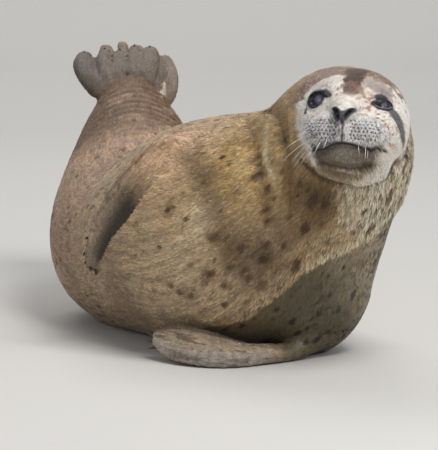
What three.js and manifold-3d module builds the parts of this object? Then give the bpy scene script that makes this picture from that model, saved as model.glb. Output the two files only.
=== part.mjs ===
// Harbor seal, young animal, lying on its left side with head and hind flippers raised.
// Millimetres, +Z up. The flesh is one implicit surface, f(p) < 0 inside, made of tapered
// elliptical chains and ellipsoids blended together, then meshed, projected onto the
// surface and parted with thin plane cuts.
import * as THREE from "three";
import { mergeVertices } from "three/addons/utils/BufferGeometryUtils.js";
import Module from "manifold-3d";

const wasm = await Module();
wasm.setup();

// ---------------------------------------------------------------- driving sizes
const GAP = 0.6; // width of the cuts between flesh nodes
const CLEAR = 0.45; // clearance of a limb, eye or claw to what it sits on
const CELL_TRUNK = [37, 37, 37]; // facet sizes: along, across, through the thickness
const CELL_HIPS = [29, 29, 29];
const CELL_HEAD = [12.5, 12.5, 12.5];
const CELL_FORE = [17, 14, 9];
const CELL_HIND = [18, 11.5, 7.5];
const CELL_TAIL = [10, 8, 8];
const EYE_R = 16;
const EYE_OPENING = 11.5;
const FLOOR_ROUND = 6; // how softly the body rolls onto its flats

// Body axis: x, y, z, half breadth, half depth, then the animal's left at that station.
const BODY_AXIS = [
  [174, -6, 314, 78, 80, 0.96, -0.2, -0.15],
  [160, 14, 303, 89, 92, 0.92, -0.22, -0.3],
  [148, 38, 267, 101, 104, 0.86, -0.26, -0.42],
  [123, 62, 230, 112, 118, 0.76, -0.3, -0.55],
  [86, 92, 188, 136, 143, 0.66, -0.32, -0.66],
  [56, 125, 160, 156, 165, 0.6, -0.28, -0.72],
  [16, 185, 151, 155, 166, 0.5, -0.15, -0.82],
  [-24, 255, 141, 146, 158, 0.42, -0.02, -0.9],
  [-65, 330, 121, 124, 148, 0.36, 0.08, -0.92],
  [-95, 400, 113, 118, 141, 0.3, 0.2, -0.92],
  [-111, 472, 135, 110, 124, 0.22, 0.45, -0.86],
  [-118, 545, 178, 88, 98, 0.15, 0.66, -0.74],
  [-122, 600, 222, 64, 74, 0.11, 0.76, -0.64],
  [-125, 637, 254, 43, 52, 0.1, 0.78, -0.62],
  [-129, 662, 278, 30, 36, 0.1, 0.8, -0.6],
];
const COLLAR_CAP = 38; // how far the neck's front end rounds forward over the head

// Fore flippers: x, y, z, half width, half thickness, then the direction of digit 1's edge.
const FORE_RIGHT = [
  [-70, 105, 250, 36, 36, 0.62, -0.5, -0.6],
  [-92, 92, 236, 34, 27, 0.62, -0.5, -0.6],
  [-112, 96, 219, 33, 19, 0.62, -0.5, -0.6],
  [-131, 110, 195, 33, 14, 0.64, -0.5, -0.58],
  [-146, 131, 172, 30, 11, 0.66, -0.5, -0.55],
  [-158, 152, 146, 26, 9, 0.7, -0.5, -0.5],
  [-168, 178, 120, 20, 8, 0.75, -0.5, -0.42],
  [-174, 198, 100, 13, 6, 0.8, -0.5, -0.35],
];
const FORE_LEFT = [
  [135, 95, 60, 50, 46, 0.05, -0.85, -0.55],
  [104, 42, 17, 19, 17, 0.05, -0.85, -0.55],
  [60, 4, 14, 17, 13, 0.1, -0.83, -0.55],
  [8, -12, 17.5, 31, 13, 0.15, -0.83, -0.55],
  [-35, 4, 25, 32, 11, 0.25, -0.76, -0.6],
  [-66, 26, 29, 24, 9, 0.35, -0.72, -0.58],
  [-86, 44, 31, 12, 6, 0.4, -0.7, -0.58],
];
// Hind flippers: five digits each, as x, y, z, half width; then thickness over width.
const HIND_RIGHT = [
  [[[-143, 640, 270, 20], [-179, 668, 297, 17], [-194, 705, 318, 17], [-194, 740, 331, 12]], 0.62],
  [[[-140, 642, 275, 17], [-160, 672, 305, 13], [-166, 712, 325, 12], [-165, 752, 336, 9]], 0.68],
  [[[-134, 645, 277, 17], [-142, 676, 308, 12], [-143, 716, 325, 11], [-143, 752, 335, 8]], 0.7],
  [[[-126, 645, 277, 17], [-123, 675, 309, 12], [-122, 716, 328, 11], [-122, 754, 340, 9]], 0.7],
  [[[-117, 642, 275, 18], [-103, 670, 305, 15], [-99, 708, 326, 16], [-100, 748, 338, 12]], 0.6],
];
const HIND_LEFT = [
  [[[-108, 668, 256, 19], [-78, 690, 276, 16], [-72, 722, 302, 15], [-78, 756, 324, 11]], 0.62],
  [[[-112, 672, 262, 17], [-93, 700, 290, 13], [-92, 735, 316, 12], [-97, 772, 334, 9]], 0.68],
  [[[-116, 674, 265, 17], [-111, 704, 298, 12], [-113, 742, 322, 11], [-118, 780, 338, 9]], 0.7],
  [[[-122, 674, 265, 17], [-131, 704, 298, 12], [-135, 742, 322, 11], [-140, 782, 342, 9]], 0.7],
  [[[-130, 670, 265, 18], [-151, 698, 296, 15], [-160, 734, 318, 14], [-163, 772, 338, 11]], 0.6],
];
const WEB_THICKNESS = 4.5; // half thickness of the web between the hind toes
const HIND_RIGHT_ACROSS = [1, -0.05, 0];
const HIND_LEFT_ACROSS = [1, 0.25, 0];
const TAIL = [
  [-112, 600, 240, 26, 18, 0.1, 0.6, -0.5],
  [-90, 618, 260, 17, 12, 0.1, 0.75, -0.6],
  [-80, 634, 280, 13, 9, 0.1, 0.75, -0.6],
  [-81, 652, 303, 7, 5, 0.1, 0.75, -0.6],
];

// How the facets of each limb are laid: along it, and through its thickness.
const FORE_RIGHT_ALONG = [-104, 93, -150], FORE_RIGHT_THROUGH = [-0.6, -0.78, -0.06];
const FORE_LEFT_ALONG = [-1, 0, 0], FORE_LEFT_THROUGH = [0, -0.5, 0.83];
const HIND_ALONG = [0, 0.88, 0.47], HIND_THROUGH = [0, -0.47, 0.88];
const TAIL_ALONG = [0.2, 0.5, 0.8];

// Head frame: centre, snout direction, roll. Sizes below are forward, left, up.
const HEAD = new THREE.Vector3(179.5, -20, 330.5);
const SNOUT = new THREE.Vector3(-0.15, -0.94, 0.309).normalize();
const ROLL = THREE.MathUtils.degToRad(-4);
const EYE = [48, 35.2, 12];
const GAZE = [0.86, 0.5, 0.06];

// ---------------------------------------------------------------- small vector tools
const V = (a) => new THREE.Vector3(a[0], a[1], a[2]);
const clamp01 = (x) => Math.min(1, Math.max(0, x));
const smin = (a, b, k) => {
  const h = clamp01(0.5 + (0.5 * (b - a)) / k);
  return b + (a - b) * h - k * h * (1 - h);
};
const smax = (a, b, k) => -smin(-a, -b, k);

const headLeft = new THREE.Vector3(1, 0, 0).addScaledVector(SNOUT, -SNOUT.x).normalize();
const headUp = new THREE.Vector3().crossVectors(SNOUT, headLeft);
headLeft.multiplyScalar(Math.cos(ROLL)).addScaledVector(headUp, Math.sin(ROLL)).normalize();
headUp.crossVectors(SNOUT, headLeft);
const fromHead = (q) =>
  HEAD.clone().addScaledVector(SNOUT, q[0]).addScaledVector(headLeft, q[1]).addScaledVector(headUp, q[2]);
const dirFromHead = (q) => fromHead(q).sub(HEAD).normalize();

// ---------------------------------------------------------------- implicit shapes
// Distance, roughly, to an ellipsoid with radii r about c.
function ellipsoid(x, y, z, c, r) {
  const a = (x - c[0]) / r[0], b = (y - c[1]) / r[1], d = (z - c[2]) / r[2];
  const k0 = Math.hypot(a, b, d);
  const k1 = Math.hypot(a / r[0], b / r[1], d / r[2]) + 1e-9;
  return (k0 * (k0 - 1)) / k1;
}

// Rows refined along a smooth curve through every row.
function refine(rows, n) {
  const out = [], m = rows.length;
  for (let i = 0; i < m - 1; i++) {
    const p1 = rows[i], p2 = rows[i + 1];
    const p0 = i > 0 ? rows[i - 1] : p1.map((v, j) => 2 * v - p2[j]);
    const p3 = i < m - 2 ? rows[i + 2] : p2.map((v, j) => 2 * v - p1[j]);
    for (let s = 0; s < n; s++) {
      const t = s / n;
      out.push(p1.map((v, j) =>
        0.5 * (2 * v + (p2[j] - p0[j]) * t + (2 * p0[j] - 5 * v + 4 * p2[j] - p3[j]) * t * t +
          (3 * v - p0[j] - 3 * p2[j] + p3[j]) * t ** 3)));
    }
  }
  out.push(rows[m - 1]);
  return out;
}

// A chain of tapered elliptical links, blended over k.
function chain(rows, k, cap) {
  const links = rows.slice(0, -1).map((A, i) => {
    const B = rows[i + 1];
    const T = V(B).sub(V(A)), L = T.length();
    T.divideScalar(L);
    const l = new THREE.Vector3(A[5] + B[5], A[6] + B[6], A[7] + B[7]);
    l.addScaledVector(T, -l.dot(T)).normalize();
    const m = new THREE.Vector3().crossVectors(T, l);
    return { A, B, T, L, l, m, first: i === 0 };
  });
  const D = new Float64Array(links.length);
  return (x, y, z) => {
    let low = Infinity;
    links.forEach(({ A, B, T, L, l, m, first }, i) => {
      const qx = x - A[0], qy = y - A[1], qz = z - A[2];
      const along = qx * T.x + qy * T.y + qz * T.z;
      const t = clamp01(along / L);
      const w = along - t * L;
      const a = A[3] + t * (B[3] - A[3]), b = A[4] + t * (B[4] - A[4]);
      const c = cap && first && w < 0 ? cap : Math.min(a, b);
      const u1 = (qx * l.x + qy * l.y + qz * l.z) / a;
      const v1 = (qx * m.x + qy * m.y + qz * m.z) / b;
      const w1 = w / c;
      const k0 = Math.hypot(u1, v1, w1);
      const k1 = Math.hypot(u1 / a, v1 / b, w1 / c) + 1e-9;
      D[i] = k0 > 1e-4 ? (k0 * (k0 - 1)) / k1 : -Math.min(c, a);
      if (D[i] < low) low = D[i];
    });
    if (!k) return low;
    let s = 0;
    for (const d of D) s += Math.exp((low - d) / k);
    return low - k * Math.log(s) + k * 1.1;
  };
}

const trunkChain = chain(refine(BODY_AXIS, 4), 5, COLLAR_CAP);

function headField(x, y, z) {
  const px = x - HEAD.x, py = y - HEAD.y, pz = z - HEAD.z;
  const F = px * SNOUT.x + py * SNOUT.y + pz * SNOUT.z;
  const L = px * headLeft.x + py * headLeft.y + pz * headLeft.z, S = Math.abs(L);
  const U = px * headUp.x + py * headUp.y + pz * headUp.z;
  let d = ellipsoid(F, S, U, [0, 0, 0], [80, 72.5, 68]); // braincase
  d = smin(d, ellipsoid(F, S, U, [24, 26, -22], [50, 46, 44]), 20); // cheeks
  d = smin(d, ellipsoid(F, S, U, [56, 0, -4], [48, 25, 23]), 14); // bridge of the snout
  d = smin(d, ellipsoid(F, S, U, [38, 0, -48], [46, 48, 32]), 18); // jowl
  d = smin(d, ellipsoid(F, S, U, [70, 0, -58], [31, 34, 19]), 8); // chin
  d = smin(d, ellipsoid(F, S, U, [24, 0, -57], [46, 56, 34]), 7); // loose skin under the chin
  let m = ellipsoid(F, S, U, [76, 25, -35], [27, 31, 25]); // whisker pads
  m = smin(m, ellipsoid(F, S, U, [82, 0, -34], [23, 18, 22]), 8);
  d = smin(d, m, 9);
  d = smin(d, ellipsoid(F, L, U, [97, -2, -14], [13, 16, 11]), 6); // nose
  d = smin(d, ellipsoid(F, S, U, [49, 37, 13], [16, 20, 16]), 9); // brow
  return d;
}

function bodyField(x, y, z) {
  let d = trunkChain(x, y, z);
  const far = Math.hypot(x - HEAD.x, y - HEAD.y, z - HEAD.z) - 150;
  d = smin(d, far > 60 ? far : headField(x, y, z), 8);
  d = smin(d, ellipsoid(x, y, z, [112, 104, 88], [88, 78, 92]), 30); // left shoulder and breast
  return smax(d, -z - 1.5, FLOOR_ROUND);
}

const grounded = (f) => (x, y, z) => smax(f(x, y, z), -z - 1.5, 4);

// A webbed foot: toes joined over k, and thin webs between neighbours.
function foot(toes, across) {
  const rows = toes.map(([r, flat]) => r.map((p) => [...p, p[3] * flat, ...across]));
  const fields = rows.map((r) => chain(refine(r, 2), 0));
  const webs = rows.slice(0, -1).map((r, i) =>
    chain(refine(r.map((p, j) => {
      const q = rows[i + 1][j];
      const half = 0.5 * Math.hypot(p[0] - q[0], p[1] - q[1], p[2] - q[2]);
      const back = j === 3 ? 0.35 : 0; // the web ends short of the toes
      const mid = [0, 1, 2].map((n) => {
        const end = (p[n] + q[n]) / 2, before = (r[2][n] + rows[i + 1][2][n]) / 2;
        return end + (before - end) * back;
      });
      return [...mid, half * 0.9 + 2, WEB_THICKNESS, ...across];
    }), 2), 0));
  return (x, y, z) => {
    let d = Infinity;
    fields.forEach((f, i) => { d = i ? smin(d, f(x, y, z), 5) : f(x, y, z); });
    webs.forEach((f) => { d = smin(d, f(x, y, z), 3); });
    return d;
  };
}

// ---------------------------------------------------------------- meshing
// Dual contouring of a regular grid: one vertex for each sheet of the surface in a
// cell, four-sided faces across the cut grid edges, then each vertex walks onto the surface.
const CORNERS = [0, 1, 2, 3, 4, 5, 6, 7].map((c) => [c & 1, (c >> 1) & 1, (c >> 2) & 1]);
const EDGES = [];
CORNERS.forEach((_, i) => [1, 2, 4].forEach((bit) => { if (!(i & bit)) EDGES.push([i, i | bit]); }));
const EDGE_OF = new Map(EDGES.map(([a, b], e) => [a * 8 + b, e]));
const edgeBetween = (a, b) => EDGE_OF.get(Math.min(a, b) * 8 + Math.max(a, b));
const FACES = [1, 2, 4].flatMap((bit) => {
  const [p, q] = [1, 2, 4].filter((o) => o !== bit);
  return [0, bit].map((base) => [base, base | p, base | p | q, base | q]);
});

// rows give the extent, each x, y, z and a reach; cells is the grid step along x, along
// y = z * x, and along z, the directions in which the grid is laid.
function meshField(f, rows, cells, x = [1, 0, 0], z = [0, 0, 1]) {
  const X = V(x).normalize(), Z = V(z).addScaledVector(X, -V(z).dot(X)).normalize();
  const Y = new THREE.Vector3().crossVectors(Z, X);
  const frame = new THREE.Matrix4().makeBasis(
    X.multiplyScalar(cells[0]), Y.multiplyScalar(cells[1]), Z.multiplyScalar(cells[2]));
  const inverse = frame.clone().invert();
  const box = new THREE.Box3();
  for (const r of rows) {
    const c = V(r).applyMatrix4(inverse);
    const reach = new THREE.Vector3(1 / cells[0], 1 / cells[1], 1 / cells[2]).multiplyScalar(Math.max(r[3], r[4] || 0) + 3);
    box.expandByPoint(c.clone().add(reach)).expandByPoint(c.clone().sub(reach));
  }
  const cell = Math.min(...cells);
  const lo = box.min.clone().subScalar(2.5);
  const n = box.max.clone().sub(lo).ceil().addScalar(3);
  const world = (i, j, k) => new THREE.Vector3(lo.x + i, lo.y + j, lo.z + k).applyMatrix4(frame);
  const [nx, ny, nz] = [n.x, n.y, n.z];
  const at = (i, j, k) => (k * ny + j) * nx + i;
  const val = new Float64Array(nx * ny * nz);
  for (let k = 0; k < nz; k++)
    for (let j = 0; j < ny; j++)
      for (let i = 0; i < nx; i++) {
        const rim = i < 2 || j < 2 || k < 2 || i > nx - 2 || j > ny - 2 || k > nz - 2;
        const p = world(i, j, k);
        const d = f(p.x, p.y, p.z);
        val[at(i, j, k)] = rim ? Math.max(d, cell * 0.5) : d;
      }
  const pos = [], index = [], vertexOf = new Map();
  for (let k = 0; k < nz - 1; k++)
    for (let j = 0; j < ny - 1; j++)
      for (let i = 0; i < nx - 1; i++) {
        const v = CORNERS.map((c) => val[at(i + c[0], j + c[1], k + c[2])]);
        const inside = v.filter((d) => d < 0).length;
        if (inside === 0 || inside === 8) continue;
        const sheet = EDGES.map(([a, b], e) => (v[a] < 0 !== v[b] < 0 ? e : -1));
        const join = (a, b) => {
          const [s, t] = [sheet[a], sheet[b]];
          sheet.forEach((q, e) => { if (q === t) sheet[e] = s; });
        };
        for (const face of FACES) {
          const cut = face.map((c, m) => edgeBetween(c, face[(m + 1) % 4])).filter((e) => sheet[e] >= 0);
          if (cut.length === 2) join(cut[0], cut[1]);
          if (cut.length === 4)
            face.forEach((c, m) => {
              if (v[c] < 0) join(edgeBetween(c, face[(m + 1) % 4]), edgeBetween(c, face[(m + 3) % 4]));
            });
        }
        for (const name of new Set(sheet)) {
          if (name < 0) continue;
          let sx = 0, sy = 0, sz = 0, m = 0;
          EDGES.forEach(([a, b], e) => {
            if (sheet[e] !== name) return;
            const t = v[a] / (v[a] - v[b]);
            sx += CORNERS[a][0] + t * (CORNERS[b][0] - CORNERS[a][0]);
            sy += CORNERS[a][1] + t * (CORNERS[b][1] - CORNERS[a][1]);
            sz += CORNERS[a][2] + t * (CORNERS[b][2] - CORNERS[a][2]);
            m++;
            vertexOf.set(at(i, j, k) * 12 + e, pos.length / 3);
          });
          pos.push(...world(i + sx / m, j + sy / m, k + sz / m).toArray());
        }
      }
  const quad = (q, flip) => {
    if (flip) q.reverse();
    index.push(q[0], q[1], q[2], q[0], q[2], q[3]);
  };
  // the vertex of the cell (i, j, k) on the sheet crossing its edge from corner a to b
  const vert = (i, j, k, a, b) => vertexOf.get(at(i, j, k) * 12 + edgeBetween(a, b));
  for (let k = 1; k < nz - 1; k++)
    for (let j = 1; j < ny - 1; j++)
      for (let i = 1; i < nx - 1; i++) {
        const s = val[at(i, j, k)] < 0;
        if (s !== val[at(i + 1, j, k)] < 0)
          quad([vert(i, j - 1, k - 1, 6, 7), vert(i, j, k - 1, 4, 5), vert(i, j, k, 0, 1), vert(i, j - 1, k, 2, 3)], !s);
        if (s !== val[at(i, j + 1, k)] < 0)
          quad([vert(i - 1, j, k - 1, 5, 7), vert(i - 1, j, k, 1, 3), vert(i, j, k, 0, 2), vert(i, j, k - 1, 4, 6)], !s);
        if (s !== val[at(i, j, k + 1)] < 0)
          quad([vert(i - 1, j - 1, k, 3, 7), vert(i, j - 1, k, 2, 6), vert(i, j, k, 0, 4), vert(i - 1, j, k, 1, 5)], !s);
      }
  // walk each vertex onto the surface, not further than half a cell
  const e = 0.5;
  for (let v = 0; v < pos.length; v += 3) {
    let [x, y, z] = [pos[v], pos[v + 1], pos[v + 2]];
    for (let it = 0; it < 3; it++) {
      const d = f(x, y, z);
      const g = [f(x + e, y, z) - f(x - e, y, z), f(x, y + e, z) - f(x, y - e, z), f(x, y, z + e) - f(x, y, z - e)];
      const len = Math.hypot(...g) / (2 * e) || 1;
      const step = THREE.MathUtils.clamp(-d / len, -0.3 * cell, 0.3 * cell) / (len * 2 * e);
      x += g[0] * step; y += g[1] * step; z += g[2] * step;
    }
    const off = new THREE.Vector3(x - pos[v], y - pos[v + 1], z - pos[v + 2]).clampLength(0, 0.45 * cell);
    pos[v] += off.x; pos[v + 1] += off.y; pos[v + 2] += off.z;
  }
  return toSolid(new THREE.BufferGeometry()
    .setAttribute("position", new THREE.BufferAttribute(new Float32Array(pos), 3))
    .setIndex(index));
}

function toSolid(geometry) {
  const g = geometry.clone();
  g.deleteAttribute("normal");
  g.deleteAttribute("uv");
  const m = mergeVertices(g, 1e-4);
  return new wasm.Manifold(new wasm.Mesh({
    numProp: 3,
    vertProperties: m.attributes.position.array,
    triVerts: new Uint32Array(m.index.array),
  }));
}

function toGeometry(solid) {
  const m = solid.getMesh();
  const v = new Float32Array(m.numVert * 3);
  for (let i = 0; i < m.numVert; i++) v.set(m.vertProperties.subarray(i * m.numProp, i * m.numProp + 3), i * 3);
  const g = new THREE.BufferGeometry()
    .setAttribute("position", new THREE.BufferAttribute(v, 3))
    .setIndex(new THREE.BufferAttribute(m.triVerts, 1));
  g.computeVertexNormals();
  return g;
}

// A block whose +Z face lies on the plane through c with normal n.
function block(c, n, depth, size = 900) {
  const g = new THREE.BoxGeometry(size, size, depth).translate(0, 0, -depth / 2);
  g.applyQuaternion(new THREE.Quaternion().setFromUnitVectors(new THREE.Vector3(0, 0, 1), n));
  return toSolid(g.translate(c.x, c.y, c.z));
}
function sphere(c, r, w = 24, h = 16) {
  return toSolid(new THREE.SphereGeometry(r, w, h).translate(c.x, c.y, c.z));
}
const biggest = (s, what = "a part") => {
  const pieces = s.decompose().sort((a, b) => b.volume() - a.volume());
  if (!pieces.length) throw new Error(what + " vanished");
  return pieces[0];
};
// The solid with a skin of clearance round it: itself and six copies moved by g.
const swollen = (solid, g = 0.7) =>
  [0, 1, 2].flatMap((axis) => [-g, g].map((d) => [0, 1, 2].map((i) => (i === axis ? d : 0))))
    .reduce((sum, d) => sum.add(toSolid(toGeometry(solid).translate(...d))), solid);

// ---------------------------------------------------------------- flesh
const floorCut = block(new THREE.Vector3(0, 300, 0), new THREE.Vector3(0, 0, 1), 60, 1800);
const allAlong = refine(BODY_AXIS, 2);
const trunkFront = meshField(bodyField, allAlong, CELL_TRUNK).subtract(floorCut);
const trunkRear = meshField(bodyField, allAlong.filter((r) => r[1] > 330), CELL_HIPS).subtract(floorCut);
const aroundTrunk = swollen(trunkFront.add(trunkRear));
const headAll = meshField(bodyField, [[...HEAD.clone().add(new THREE.Vector3(-5, -25, -5)).toArray(), 125]], CELL_HEAD);

// the crease between face and collar, as a plane
const crease = dirFromHead([0.942, 0, 0.334]);
const creaseAt = HEAD.clone().addScaledVector(crease, 4.5);
const face = headAll.subtract(block(creaseAt.clone().addScaledVector(crease, GAP / 2), crease, 400));

// the cuts between neck, chest, belly and hips: where, and square to which way
const CUTS = [
  [creaseAt.toArray(), crease.clone().negate().toArray()],
  [[100, 82, 206], [-0.59, 0.5, -0.62]],
  [[-4, 220, 151], [-0.49, 0.86, -0.1]],
  [[-103, 440, 128], [-0.18, 0.93, 0.28]],
].map(([c, t]) => ({ c: V(c), t: V(t).normalize() }));
const beyond = ({ c, t }) => block(c.clone().addScaledVector(t, GAP / 2), t.clone().negate(), 1600, 2400);
const before = ({ c, t }) => block(c.clone().addScaledVector(t, -GAP / 2), t, 1600, 2400);
const neck = biggest(trunkFront.intersect(beyond(CUTS[0])).intersect(before(CUTS[1])));
const chest = biggest(trunkFront.intersect(beyond(CUTS[1])).intersect(before(CUTS[2])));
const belly = biggest(trunkFront.intersect(beyond(CUTS[2])).intersect(before(CUTS[3])));
const hips = biggest(trunkRear.intersect(beyond(CUTS[3])));

// ---------------------------------------------------------------- eyes
const eyes = [1, -1].map((side) => {
  const c = fromHead([EYE[0], EYE[1] * side, EYE[2]]);
  const gaze = dirFromHead([GAZE[0], GAZE[1] * side, GAZE[2]]);
  const ball = sphere(c, EYE_R, 16, 9);
  const socket = sphere(c, EYE_R + CLEAR, 16, 9);
  const funnel = new THREE.CylinderGeometry(EYE_OPENING * 1.12, EYE_OPENING, 24, 20).translate(0, 12, 0);
  funnel.applyQuaternion(new THREE.Quaternion().setFromUnitVectors(new THREE.Vector3(0, 1, 0), gaze));
  const start = c.clone().addScaledVector(gaze, 9);
  return { ball, hole: socket.add(toSolid(funnel.translate(start.x, start.y, start.z))) };
});
const head = biggest(face.subtract(eyes[0].hole).subtract(eyes[1].hole));

// ---------------------------------------------------------------- limbs and tail
const foreRight = refine(FORE_RIGHT, 3), foreLeft = refine(FORE_LEFT, 3);
const foreRightField = chain(foreRight, 1.2), foreLeftField = grounded(chain(foreLeft, 1.2));
const hindRightField = foot(HIND_RIGHT, HIND_RIGHT_ACROSS), hindLeftField = foot(HIND_LEFT, HIND_LEFT_ACROSS);
const tailField = chain(refine(TAIL, 2), 0);
const toeRows = (toes) => toes.flatMap(([r]) => r);
const foreRightSolid = biggest(meshField(foreRightField, foreRight, CELL_FORE, FORE_RIGHT_ALONG, FORE_RIGHT_THROUGH).subtract(aroundTrunk));
const foreLeftSolid = biggest(meshField(foreLeftField, foreLeft, CELL_FORE, FORE_LEFT_ALONG, FORE_LEFT_THROUGH).subtract(floorCut).subtract(aroundTrunk));
const hindRightSolid = biggest(meshField(hindRightField, toeRows(HIND_RIGHT), CELL_HIND, HIND_ALONG, HIND_THROUGH).subtract(aroundTrunk));
const aroundHindRight = swollen(hindRightSolid);
const hindLeftSolid = biggest(meshField(hindLeftField, toeRows(HIND_LEFT), CELL_HIND, HIND_ALONG, HIND_THROUGH).subtract(aroundTrunk).subtract(aroundHindRight));
const tailSolid = biggest(meshField(tailField, TAIL, CELL_TAIL, TAIL_ALONG)
  .subtract(aroundTrunk).subtract(aroundHindRight).subtract(swollen(hindLeftSolid)));

// ---------------------------------------------------------------- claws
// A bent, tapering claw from c along t, curving towards down; r is its half height, and
// spare swells it on every side, for the pocket it sits in.
function claw(c, t, down, length, r, spare = 0) {
  const T = t.clone().normalize();
  const D = down.clone().addScaledVector(T, -down.dot(T)).normalize();
  const W = new THREE.Vector3().crossVectors(T, D);
  const SIDES = 5, RINGS = 3, pos = [], index = [];
  for (let i = 0; i < RINGS; i++) {
    const s = i / RINGS, size = r * (1 - s) ** 0.6 + spare * 1.5;
    const mid = c.clone().addScaledVector(T, length * s - (i ? 0 : spare)).addScaledVector(D, length * 0.28 * s * s);
    for (let j = 0; j < SIDES; j++) {
      const a = (2 * Math.PI * j) / SIDES;
      pos.push(...mid.clone().addScaledVector(W, size * 0.72 * Math.cos(a)).addScaledVector(D, size * Math.sin(a)).toArray());
    }
  }
  const root = RINGS * SIDES, tip = root + 1;
  pos.push(...c.clone().addScaledVector(T, -spare).toArray());
  pos.push(...c.clone().addScaledVector(T, length + 3 * spare).addScaledVector(D, length * 0.28).toArray());
  for (let j = 0; j < SIDES; j++) {
    const k = (j + 1) % SIDES;
    index.push(root, j, k);
    for (let i = 0; i < RINGS - 1; i++) {
      const a = i * SIDES + j, b = i * SIDES + k;
      index.push(a, a + SIDES, b + SIDES, a, b + SIDES, b);
    }
    index.push((RINGS - 1) * SIDES + j, tip, (RINGS - 1) * SIDES + k);
  }
  const s = new THREE.BufferGeometry()
    .setAttribute("position", new THREE.BufferAttribute(new Float32Array(pos), 3))
    .setIndex(index);
  let solid = toSolid(s);
  if (solid.volume() < 0) {
    s.setIndex(index.map((_, n) => index[n - (n % 3) + 2 - (n % 3)]));
    solid = toSolid(s);
  }
  return solid;
}

// A point of a flipper: t along it, u across it (towards digit 1), h out of its outer face.
function onFlipper(rows, t, u, h) {
  const x = t * (rows.length - 1), i = Math.min(rows.length - 2, Math.floor(x)), s = x - i;
  const r = rows[i].map((v, j) => v + s * (rows[i + 1][j] - v));
  const T = V(rows[i + 1]).sub(V(rows[i])).normalize();
  const l = new THREE.Vector3(r[5], r[6], r[7]);
  l.addScaledVector(T, -l.dot(T)).normalize();
  const m = new THREE.Vector3().crossVectors(T, l);
  return { p: V(r).addScaledVector(l, u * r[3]).addScaledVector(m, h * r[4]), T, l, m };
}
// Claws: t along the flipper, u across it, and how far each turns away from digit 1.
const CLAWS_FORE_RIGHT = [[0.97, 0.62, -0.05], [0.98, 0.0, 0.08], [0.96, -0.62, 0.16], [0.9, -0.84, 0.26], [0.78, -0.88, 0.36]];
const CLAWS_FORE_LEFT = [[0.95, 0.86, -0.45], [0.99, 0.5, -0.2], [1.0, -0.05, 0.05], [0.96, -0.62, 0.3], [0.9, -0.9, 0.5]];
const foreClaws = (rows, table, outward) =>
  table.map(([t, u, turn], i) => {
    const { p, T, l, m } = onFlipper(rows, t, u, 0.35 * outward);
    const dir = T.clone().addScaledVector(l, -turn).normalize();
    const root = p.addScaledVector(dir, -2), down = m.clone().multiplyScalar(-outward);
    return [0, CLEAR].map((spare) => claw(root, dir, down, 16 - i, 2.8, spare));
  });
// Hind claws lie on the upper face of each toe, a little short of its tip.
const hindClaws = (toes, outward) =>
  toes.map(([r, flat]) => {
    const a = V(r[2]), b = V(r[3]);
    const T = b.clone().sub(a).normalize();
    const up = outward.clone().addScaledVector(T, -outward.dot(T)).normalize();
    const c = b.clone().addScaledVector(T, -7).addScaledVector(up, r[3][3] * flat * 0.8);
    const dir = T.addScaledVector(up, 0.12), down = up.clone().multiplyScalar(-1);
    return [0, CLEAR].map((spare) => claw(c, dir, down, 12, 2.3, spare));
  });

const UPPER_SIDE = new THREE.Vector3(0, -0.45, 0.9);
const clawSets = {
  fore_right: foreClaws(foreRight, CLAWS_FORE_RIGHT, 1),
  fore_left: foreClaws(foreLeft, CLAWS_FORE_LEFT, -1),
  hind_right: hindClaws(HIND_RIGHT, UPPER_SIDE),
  hind_left: hindClaws(HIND_LEFT, UPPER_SIDE.clone().negate()),
};
const pockets = (solid, claws) => biggest(claws.reduce((s, [, pocket]) => s.subtract(pocket), solid));
const limbs = {
  fore_right: pockets(foreRightSolid, clawSets.fore_right),
  fore_left: pockets(foreLeftSolid, clawSets.fore_left),
  hind_right: pockets(hindRightSolid, clawSets.hind_right),
  hind_left: pockets(hindLeftSolid, clawSets.hind_left),
};

// ---------------------------------------------------------------- the model
const fur = new THREE.MeshStandardMaterial({ color: 0xb09a78, roughness: 0.85, metalness: 0 });
const fins = new THREE.MeshStandardMaterial({ color: 0x8f8071, roughness: 0.8, metalness: 0 });
const eyeMaterial = new THREE.MeshStandardMaterial({ color: 0x14121a, roughness: 0.06, metalness: 0 });
const clawMaterial = new THREE.MeshStandardMaterial({ color: 0x2b2623, roughness: 0.4, metalness: 0 });

const group = new THREE.Group();
const add = (name, solid, material) => {
  const mesh = new THREE.Mesh(toGeometry(solid), material.clone());
  mesh.name = name;
  group.add(mesh);
};
add("head", head, fur);
add("neck", neck, fur);
add("chest", chest, fur);
add("belly", belly, fur);
add("hips", hips, fur);
add("tail", tailSolid, fins);
add("fore_flipper_right", limbs.fore_right, fins);
add("fore_flipper_left", limbs.fore_left, fins);
add("hind_flipper_right", limbs.hind_right, fins);
add("hind_flipper_left", limbs.hind_left, fins);
add("eye_left", eyes[0].ball, eyeMaterial);
add("eye_right", eyes[1].ball, eyeMaterial);
for (const [limb, claws] of Object.entries(clawSets))
  claws.forEach(([c], i) => add("claw_" + limb + "_" + (i + 1), c, clawMaterial));

// the origin is the middle of the model's footprint box, at the floor
const box = new THREE.Box3().setFromObject(group, true);
const shift = new THREE.Vector3(-(box.min.x + box.max.x) / 2, -(box.min.y + box.max.y) / 2, 0);
group.children.forEach((m) => m.geometry.translate(shift.x, shift.y, shift.z));

export default group;
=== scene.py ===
import math

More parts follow.
